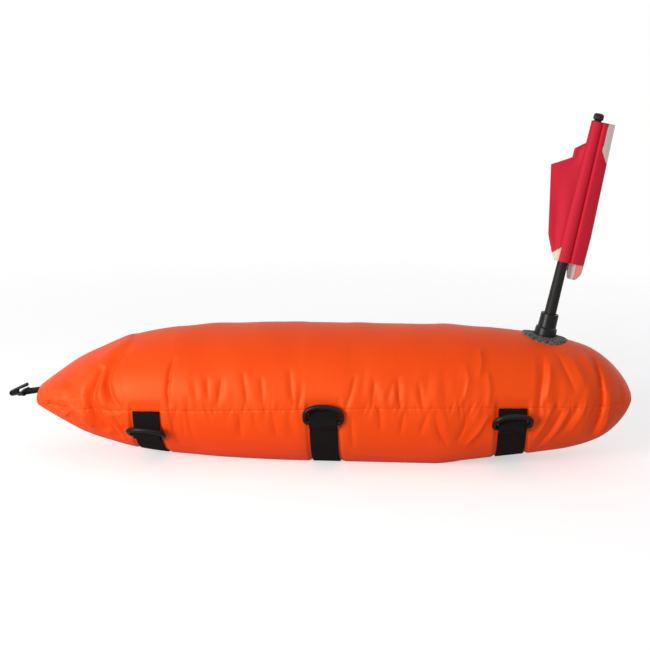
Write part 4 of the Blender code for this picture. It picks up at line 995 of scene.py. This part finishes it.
# %% Rubber patch
rubber, tree, shader = new_material("welded_rubber_patch", "#575052", 0.8)
place = node(tree, "TexCoord").outputs["Object"]
specks = node(tree, "TexNoise", {"Vector": place, "Scale": grains(0.003846), "Detail": 4.0}).outputs["Fac"]
specks = node(tree, "MapRange", {"Value": specks, "From Min": 0.35, "From Max": 0.65}).outputs["Result"]
tree.links.new(mixed(tree, specks, "#1E1B1C", "#857A7D"), shader.inputs["Base Color"])
raised(tree, shader, specks, 0.0012)

PATCH_RADIUS, PATCH_WALL, PATCH_LIFT, RIM_ROOM, UNDER_FOOT = 0.0315, 0.0022, 0.0001, 0.0006, 0.002
BUMP = 0.00012
RIM_WAVES = (3, 5, 9, 17, 31)
# share of the way out to the rim, and share of the wall
PATCH_SECTION = ((0, 0), (0, 0.7), (0.06, 0.95), (0.3, 1.0), (0.55, 0.98), (0.8, 0.9), (0.93, 0.72))
PATCH_SECTION += ((0.99, 0.4), (1.0, 0))
random = np.random.default_rng(5)
turn = np.linspace(0, 2 * math.pi, 144, endpoint=False)
wobble = sum(random.uniform(0.1, 0.3) * np.sin(k * turn + random.uniform(0, 6)) for k in RIM_WAVES)
rim = PATCH_RADIUS - RIM_ROOM + MM * wobble
inner = FOOT_RADIUS - UNDER_FOOT
share, thick = softened(PATCH_SECTION, 0.05).T[..., None]
reach = inner + (rim - inner) * share
bumps = BUMP * np.sin(reach * 2400 + 5 * np.sin(turn * 11)) * np.sin(turn * 37) * (share > 0.1)
x = SOCKET_X + reach * np.cos(turn)
patch = skin(x, TOP - reach * np.sin(turn) / half_size(x, "wide"), PATCH_LIFT + (PATCH_WALL + bumps) * thick)
piece("rubber_patch", [patch], rubber, "grey_rubber", stands_for=["base_patch"], loop=(True, True))

# %% [markdown]
# ## Pole and cap
# The pole is a tapered tube of glass fibre in dark resin. The fibres run along it and leave faint
# streaks under a millimetre wide and about 40 mm long, so the noise is stretched along the pole. A
# ribbed plastic knob closes its top.

# %% Pole
pole_resin, tree, shader = new_material("glass_fibre_pole", "#2A2827", 0.45)
shader.inputs["Specular IOR Level"].default_value = 0.15
place = node(tree, "TexCoord").outputs["Object"]
STREAKS = (grains(0.0008333), grains(0.0008333), grains(0.040))
upright = node(tree, "Mapping", {"Vector": place, "Rotation": (0, -POLE_LEAN, 0), "Scale": STREAKS})
settings = {"Vector": upright.outputs["Vector"], "Scale": 1.0, "Detail": 3.0}
streak = node(tree, "TexNoise", settings).outputs["Fac"]
tree.links.new(mixed(tree, streak, "#1B1A19", "#2A2826"), shader.inputs["Base Color"])
raised(tree, shader, streak, 0.00008)

POLE_WALL, MOUTH_DEPTH = 0.0018, 0.010
heights = np.linspace(POLE_BOTTOM, POLE_TOP, 60)
tube = np.stack([pole_radius(heights), heights], -1)
mouth = [(RADIUS_HIGH - POLE_WALL, POLE_TOP), (RADIUS_HIGH - POLE_WALL, POLE_TOP - MOUTH_DEPTH)]
tube = turned(np.concatenate([tube, mouth]), pole_frame, 48)
piece("tapered_pole", [tube], pole_resin, "pole", stands_for=["pole"])

# %% Cap
CAP_RADIUS, CAP_HEIGHT, CAP_BEVEL, PEG_RADIUS, PEG_LENGTH = 0.0068, 0.0095, 0.0012, 0.0029, 0.008
RIBS_ROUND, RIB_SHARE = 20, 0.055
bottom, top = POLE_TOP + GAP, POLE_TOP + CAP_HEIGHT
profile = [
    (0, top),
    (CAP_RADIUS * 0.62, top - 0.0003),
    (CAP_RADIUS * 0.95, top - 0.0018),
    (CAP_RADIUS, top - 0.0040),
    (CAP_RADIUS, bottom + CAP_BEVEL),
    (CAP_RADIUS - CAP_BEVEL, bottom),
    (PEG_RADIUS, bottom),
    (PEG_RADIUS, bottom - PEG_LENGTH),
    (0, bottom - PEG_LENGTH),
]
profile = softened(profile, 0.0008)
knob = turned(profile, np.eye(4), 160)
turn = np.linspace(0, 2 * math.pi, 160, endpoint=False)
ribbed = smooth_step(profile[:, 0], 0.0045, CAP_RADIUS)[:, None]
knob[..., :2] *= (1 - RIB_SHARE * ribbed * (0.5 + 0.5 * np.cos(turn * RIBS_ROUND)))[..., None]
piece("ribbed_cap", [placed(pole_frame, knob)], acetal, "black_plastic", stands_for=["pole_cap"])

# %% [markdown]
# ## The furled flag
# The flag is one piece of polyester cloth, red with a white stripe, wrapped round the pole: the
# front ply comes from its free edge on the left, goes over the pole and on to a fold on the right,
# and the back ply returns behind. Its lower right corner hangs below. Widths are measured from the
# pole's axis at each height. The dye is bright and the cloth matte, in a plain weave whose threads
# are drawn 1.1 mm apart to show. The stripe is a number on each point, 0 for red and 1 for white,
# and 0.3 on a band of the back ply's tail, a paler pink that is painted light shining through it.

# %% Flag cloth
flag_cloth, tree, shader = new_material("polyester_flag_cloth", "#CC1830", 0.7)
shader.inputs["Specular IOR Level"].default_value = 0.25
FLAG_THREAD = 0.0011
weave = woven(tree, FLAG_THREAD, FLAG_THREAD)
red = mixed(tree, weave, "#CC1830", "#E42C46")
white = mixed(tree, weave, "#E2D2C6", "#F2E8E0")
stripe = node(tree, "Attribute", attribute_name="stripe").outputs["Fac"]
tree.links.new(mixed(tree, stripe, red, white), shader.inputs["Base Color"])
raised(tree, shader, weave, 0.00008, 0.7)

# %% Furling
FLAG_FOOT, FLAG_HOIST, FLAG_WALL, PLY_GAP, FLAG_TAIL = 0.105, 0.1915, 0.0006, 0.0011, 0.0225
# height over the flag's foot and width to that side of the pole's axis, in mm
FLAG_LEFT = ((0, 12.0), (9, 17.5), (32, 27.9), (77, 36.9), (124, 46.3), (139, 21.0), (151, 20.8))
FLAG_LEFT += ((164, 4.2), (192, 4.2))
FLAG_RIGHT = ((0, 27.0), (38, 27.5), (192, 22.3))
WING, SLEEVE, WING_LEVEL = 0.4, 0.6, 0.62
SWELLING, FLUTTER, CORNER_LIFT = 0.0064, 0.0009, 0.008


def flag_ply(height, share):
    """One ply: across and depth at a share of its way from the free edge to the fold.

    Up to WING it is the free part, which rises towards the pole. Then comes half a circle over the
    pole, -cos and sin of the turn, up to SLEEVE, and then the right part, which swells by
    (1 - lap to the 1.5) like a rolled cloth.
    """
    over = pole_radius(FLAG_FOOT + height) + BAR_ROOM + FLAG_WALL
    edge = 1.15 * over
    left = np.maximum(np.interp(height / MM, *zip(*FLAG_LEFT)) * MM, 1.03 * edge)
    right = np.interp(height / MM, *zip(*FLAG_RIGHT)) * MM
    wing, lap = np.clip(share / WING, 0, 1), np.clip((share - SLEEVE) / (1 - SLEEVE), 0, 1)
    turn = np.clip((share - WING) / (SLEEVE - WING), 0, 1) * math.pi
    ways = [-left + (left - edge) * wing, -edge * np.cos(turn)]
    across = np.select([share < WING, share <= SLEEVE], ways, edge + (right - edge) * lap)
    lifted = np.maximum(np.sin(turn), WING_LEVEL * smooth_step(wing, 0.35, 1.0))
    rise = np.where(turn < TOP, lifted, np.sin(turn))
    depth = PLY_GAP + (1.06 * over - PLY_GAP) * rise
    depth += SWELLING * (1 - lap**1.5) * (1 - np.exp(-lap / 0.05)) * (share > SLEEVE)
    depth += FLUTTER * np.sin(math.pi * wing) * (1 + np.sin(height * 55 + 4 * wing))
    return across, depth, edge


def flag_surface(height, lap):
    """The whole cloth: the front ply for lap 0 to 1, the fold from 1 to 2, the back ply from 2 to 3."""
    share = np.clip(np.where(lap < 1.5, lap, 3 - lap), 0, 1)
    across, depth, edge = flag_ply(height, share)
    fold = np.clip(lap - 1, 0, 1) * math.pi
    across = across + PLY_GAP * np.sin(fold)
    side = np.select([lap <= 1, lap < 2], [1.0, np.cos(fold)], -1.0)
    hang = FLAG_TAIL * (1 - height / FLAG_HOIST) * smooth_step(lap, 1, 2)
    hang = hang * smooth_step(across, 0.5 * edge, 1.3 * edge)
    lift = smooth_step(across, 0.019, 0.028) ** 2 * (1 - height / FLAG_HOIST)
    hang = hang - CORNER_LIFT * lift * (hang > 0)
    return np.stack([across, -depth * side, FLAG_FOOT + height - hang], -1), across


corner_levels = [level * MM for level, _ in FLAG_LEFT[:-1]]
levels = np.unique(np.concatenate([np.linspace(0, FLAG_HOIST, 120), corner_levels]))
laps = np.concatenate([np.linspace(0, 1, 70), 1 + np.linspace(0, 1, 9)[1:-1], np.linspace(2, 3, 70)])
height, lap = np.meshgrid(levels, laps, indexing="ij")
points, across = flag_surface(height, lap)
print("flag cloth", len(levels), "rows by", len(laps), "columns")

# %% Flag and its stripe
# the second number is the share of white painted on the back ply's tail as light shining through the cloth
PLY_WIDTH, THROUGH_LIGHT_SHARE = 0.06, 0.3
# height of each edge of the white at the pole's axis, and its slope
UPPER_EDGE, LOWER_EDGE, TAIL_EDGE = (0.17854, -1.6), (0.025804, 0.99), (0.030, 1.0)
BAND_EDGES = (0.081, -1.2), (0.109, -1.2)
UPPER_FROM, LOWER_TO, TAIL_TO = 0.0146, -0.0074, 0.0190


def under(edge):
    """Whether a point lies under a slanted edge: height < height at the axis + slope x across."""
    return height < edge[0] + edge[1] * across


in_front, at_back = lap < 1.5, lap > 1.5
upper_strip = in_front & (across > UPPER_FROM) & ~under(UPPER_EDGE)
lower_left = in_front & (across < LOWER_TO) & under(LOWER_EDGE)
tail = at_back & (across > 0) & (across < TAIL_TO) & under(TAIL_EDGE)
behind = at_back & ~under(BAND_EDGES[0]) & under(BAND_EDGES[1])
open_grid = {"loop": (False, False), "flat": np.stack([lap * PLY_WIDTH, height], -1)}
cloth = placed(pole_frame, points)
flag = piece("furled_flag", [cloth], flag_cloth, "flag_cloth", stands_for=["flag"], **open_grid)
stripe = flag.data.attributes.new("stripe", "FLOAT", "POINT")
# painted light: the tail's band beyond TAIL_TO gets 0.3 of white, a paler pink for light shining through the
# cloth
painted_through_light = THROUGH_LIGHT_SHARE * (at_back & (across >= TAIL_TO) & under(TAIL_EDGE))
whiteness = np.maximum(upper_strip | lower_left | tail | behind, painted_through_light)
stripe.data.foreach_set("value", whiteness.astype(np.float32).ravel())
wall = flag.modifiers.new("ply", "SOLIDIFY")
wall.thickness, wall.offset = FLAG_WALL, 0.0

# %% [markdown]
# The flag's furled edge is cut to a slant, so the cloth's own area is less than the rectangle of its
# greatest width, along both plies and the fold, by its height with the hanging corner.

# %% [markdown]
# ## Valve
# The bladder's oral valve comes through the upper panel on the far side: a flanged neck and a push
# plug, moulded in the same acetal and turned about the hull's own normal.

# %% Valve and plug
VALVE_X, VALVE_ANGLE = 0.178, math.radians(140.0)
VALVE_BORE, NECK_RADIUS, NECK_TOP, NECK_END = 0.0045, 0.0075, 0.0055, -0.0060
LIP_RADIUS, LIP_LOW, LIP_HIGH = 0.0115, 0.0002, 0.0024
PLUG_RADIUS, PLUG_RIM, PLUG_TOP, PLUG_DISH, PLUG_STEM = 0.0090, 0.0034, 0.0045, 0.0037, 0.0060
valve = skin_frame(VALVE_X, VALVE_ANGLE)
profile = [
    (VALVE_BORE, 0.0),
    (VALVE_BORE, NECK_TOP),
    (NECK_RADIUS, NECK_TOP),
    (NECK_RADIUS, LIP_HIGH),
    (LIP_RADIUS, LIP_HIGH),
    (LIP_RADIUS, LIP_LOW),
    (NECK_RADIUS, LIP_LOW),
    (NECK_RADIUS, NECK_END),
]
body = turned(softened(profile, 0.0005), valve, 64)
piece("moulded_valve", [body], acetal, "black_plastic", stands_for=["valve_body"])
low = NECK_TOP + GAP
profile = [
    (0, low + PLUG_DISH),
    (0.0050, low + PLUG_DISH),
    (0.0058, low + PLUG_TOP),
    (0.0082, low + PLUG_TOP),
    (PLUG_RADIUS, low + PLUG_RIM),
    (PLUG_RADIUS, low),
    (0.0042, low),
    (0.0040, low - PLUG_STEM),
    (0, low - PLUG_STEM),
]
profile = softened(profile, 0.0006)
plug = turned(profile, np.eye(4), 120)
turn = np.linspace(0, 2 * math.pi, 120, endpoint=False)
grip = smooth_step(profile[:, 0], 0.0078, PLUG_RADIUS)[:, None]
plug[..., :2] *= (1 - 0.05 * grip * (0.5 + 0.5 * np.cos(turn * 24)))[..., None]
piece("moulded_valve_plug", [placed(valve, plug)], acetal, "black_plastic", stands_for=["valve_plug"])

# %% [markdown]
# ## Zip
# The bladder goes in through a zip in the upper panel, on the far side. Its woven tape lies in a
# slot between two rolled lips of the cloth. The tape's threads are drawn 1.2 mm apart to show.

# %% Zip tape and lips
zip_tape, tree, shader = new_material("woven_zip_tape", "#1B1A19", 0.9)
TAPE_THREAD = 0.0012
weave = woven(tree, TAPE_THREAD, TAPE_THREAD)
tree.links.new(mixed(tree, weave, "#131211", "#282624"), shader.inputs["Base Color"])
raised(tree, shader, weave, 0.0002)

TAPE_TOP, TAPE_WALL, TAPE_TUCK = -0.0029, 0.0007, 0.001
LIP_WIDE, LIP_TALL, LIP_OFF, LIP_SINK, LIP_PAST = 0.0011, 0.0008, 0.0003, 0.0002, 0.003


def strip(offset, out, outline, rows=120, start=ZIP_START, end=ZIP_END):
    """A section carried along the hull at an offset round it from the zip's middle line."""
    x = np.linspace(start, end, rows)[:, None] + 0 * outline[:, 0]
    around = offset + outline[:, 0]
    points = skin(x, ZIP_ANGLE + around / RADIUS, out + outline[:, 1])
    flat = np.stack([x, around + 0 * x], -1)
    return capped(points), np.concatenate([flat[:1], flat, flat[-1:]])


outline = band_outline(2 * (ZIP_HALF + TAPE_TUCK), TAPE_WALL)
points, flat = strip(0.0, TAPE_TOP - TAPE_WALL / 2, outline)
piece("zip_woven_tape", [points], zip_tape, "zip_tape", stands_for=["zip_tape"], flat=flat)
turn = np.linspace(0, 2 * math.pi, 14, endpoint=False)
lip = np.stack([LIP_WIDE * np.cos(turn), LIP_TALL * np.sin(turn)], -1)
for name, side in (("upper", -1), ("lower", 1)):
    offset = side * (ZIP_HALF + LIP_OFF)
    points, flat = strip(offset, -LIP_SINK, lip, 160, ZIP_START - LIP_PAST, ZIP_END + LIP_PAST)
    piece(f"zip_lip_{name}", [points], orange_nylon, "nylon", flat=flat)

# %% [markdown]
# Two rows of moulded teeth mesh along the middle, every other tooth from the other side. A tooth is
# a rounded box, an ellipsoid whose cosines and sines are taken to the power 0.5, with 48 faces.

# %% Zip teeth
TOOTH_SPACING, TOOTH_OFFSET, CHAIN_HEIGHT, CHAIN_ENDS = 0.0013, 0.0008, 0.0034, 0.002
TOOTH_HALVES = (0.0019, 0.00056, CHAIN_HEIGHT / 2)
x = np.arange(ZIP_START + CHAIN_ENDS, ZIP_END - CHAIN_ENDS, TOOTH_SPACING)
side = np.where(np.arange(len(x)) % 2 == 0, 1, -1)
along, out = directions(x, np.full_like(x, ZIP_ANGLE))
around = np.cross(out, along) * side[:, None]
a = np.linspace(0, math.pi, 7)
b = np.arange(8) * math.pi / 4 + math.pi / 8
a, b = np.meshgrid(a, b, indexing="ij")
boxy = [squarer(f, 0.5)[..., None] for f in (np.cos(a), np.sin(a) * np.cos(b), np.sin(a) * np.sin(b))]
centre = skin(x, np.full_like(x, ZIP_ANGLE), TAPE_TOP + GAP + CHAIN_HEIGHT / 2) + around * TOOTH_OFFSET
ways = [way[:, None, None] for way in (around, along, out)]
teeth = centre[:, None, None] + sum(half * f * way for half, f, way in zip(TOOTH_HALVES, boxy, ways))
piece("zip_teeth", [teeth], acetal, "black_plastic", stands_for=["zip_chain"])

# %% [markdown]
# The slider and its puller, the bladder inside and the socket's nut keep the shapes of the frame,
# and get their finishes here. The bladder is a milky film, welded from two halves, with cloudy
# patches some 33 mm wide.

# %% Finishes of the pieces kept from the frame
bladder_film, tree, shader = new_material("welded_bladder_film", "#CFCABF", 0.4)
place = node(tree, "TexCoord").outputs["Object"]
cloudy = node(tree, "TexNoise", {"Vector": place, "Scale": grains(0.0333), "Detail": 4.0}).outputs["Fac"]
tree.links.new(mixed(tree, cloudy, "#C4BEB1", "#DAD6CD"), shader.inputs["Base Color"])
raised(tree, shader, cloudy, 0.0006)
kept = {"bladder": bladder_film, "socket_nut": acetal, "zip_slider": acetal, "zip_puller": acetal}
for name, finish in kept.items():
    for material_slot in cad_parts[name].material_slots:
        material_slot.material = finish
    print(name, "is", finish.name)

# %% [markdown]
# ## Floor, light and camera
# The float lies on a plain white floor that fades into a white surround. The floor glows a little
# for the camera alone, so that it looks as white as in the photo and throws no light on the belly.
# A wide soft lamp stands in front, above and to the left, and a dim even light fills the rest.

# %% Floor
FLOOR_HALF, FADE_FROM, FADE_TO, FLOOR_GLOW = 2.0, 0.8, 1.7, 0.52
WHITE = (1, 1, 1, 1)
floor_white, tree, shader = new_material("plain_white_floor", "#EAEAEA", 0.9)
shader.inputs["Specular IOR Level"].default_value = 0.0
seen = node(tree, "LightPath").outputs["Is Camera Ray"]
glow = node(tree, "Math", {0: seen, 1: FLOOR_GLOW}, operation="MULTIPLY").outputs[0]
tree.links.new(glow, shader.inputs["Emission Strength"])
shader.inputs["Emission Color"].default_value = WHITE
place = node(tree, "TexCoord").outputs["Object"]
away = node(tree, "VectorMath", {0: place}, operation="LENGTH").outputs["Value"]
fade = node(tree, "MapRange", {"Value": away, "From Min": FADE_FROM, "From Max": FADE_TO}).outputs["Result"]
clear = node(tree, "BsdfTransparent")
mix = node(tree, "MixShader", {0: fade, 1: shader.outputs[0], 2: clear.outputs[0]})
tree.links.new(mix.outputs[0], tree.nodes["Material Output"].inputs["Surface"])
corners = FLOOR_HALF * np.array([(-1, -1, 0), (1, -1, 0), (1, 1, 0), (-1, 1, 0)])
mesh = bpy.data.meshes.new("floor")
mesh.from_pydata(corners.tolist(), [], [(0, 1, 2, 3)])
mesh.materials.append(floor_white)
floor = bpy.data.objects.new("floor", mesh)
bpy.context.scene.collection.objects.link(floor)
print("floor", 2 * FLOOR_HALF, "m square")

# %% Surround
FILL_LIGHT = 0.42
world = bpy.data.worlds.new("studio")
bpy.context.scene.world = world
world.use_nodes = True
tree = world.node_tree
rays = node(tree, "LightPath").outputs
seen = rays["Is Camera Ray"]
for other in ("Is Glossy Ray", "Is Transmission Ray"):
    seen = node(tree, "Math", {0: seen, 1: rays[other]}, operation="MAXIMUM").outputs[0]
strength = node(tree, "MapRange", {"Value": seen, "To Min": FILL_LIGHT, "To Max": 1.0}).outputs["Result"]
tree.links.new(strength, tree.nodes["Background"].inputs["Strength"])
tree.nodes["Background"].inputs["Color"].default_value = WHITE
print("surround lights with", FILL_LIGHT, "of its white")

# %% Lamp and camera
def aimed(name, data, place, target):
    """Links a lamp or camera at a place, with its -Z towards the target and its Y up."""
    made = bpy.data.objects.new(name, data)
    back = np.array(place, float) - target
    back /= np.linalg.norm(back)
    right = np.cross((0, 0, 1), back)
    right /= np.linalg.norm(right)
    matrix = flat_frame(place, right, np.cross(back, right))
    made.matrix_world = Matrix(matrix.tolist())
    bpy.context.scene.collection.objects.link(made)
    return made


def lamp(name, place, width, power):
    """A square soft lamp, its width in metres and its power in watts, aimed at the middle of the hull."""
    data = bpy.data.lights.new(name, "AREA")
    data.shape, data.size, data.energy = "SQUARE", width, power
    return aimed(name, data, place, (0, 0, 0.1))


lamp("window", (-1.9, -2.05, 0.72), 1.2, 64)
PHOTO_PIXELS, FOCAL_PIXELS, SENSOR = 650, 1371.43, 36.0
CAMERA_PLACE, DOWN, ROUND = np.array([0.1294, -1.8501, 0.5901]), math.radians(12.244), math.radians(4.406)
data = bpy.data.cameras.new("camera")
data.sensor_width, data.lens = SENSOR, SENSOR * FOCAL_PIXELS / PHOTO_PIXELS
ahead = np.array([-math.sin(ROUND) * math.cos(DOWN), math.cos(ROUND) * math.cos(DOWN), -math.sin(DOWN)])
camera = aimed("camera", data, CAMERA_PLACE, CAMERA_PLACE + ahead)
bpy.context.scene.camera = camera
bpy.context.scene.view_settings.view_transform = "Standard"
print("camera", np.round(CAMERA_PLACE, 3), "lens", round(data.lens, 1), "mm")
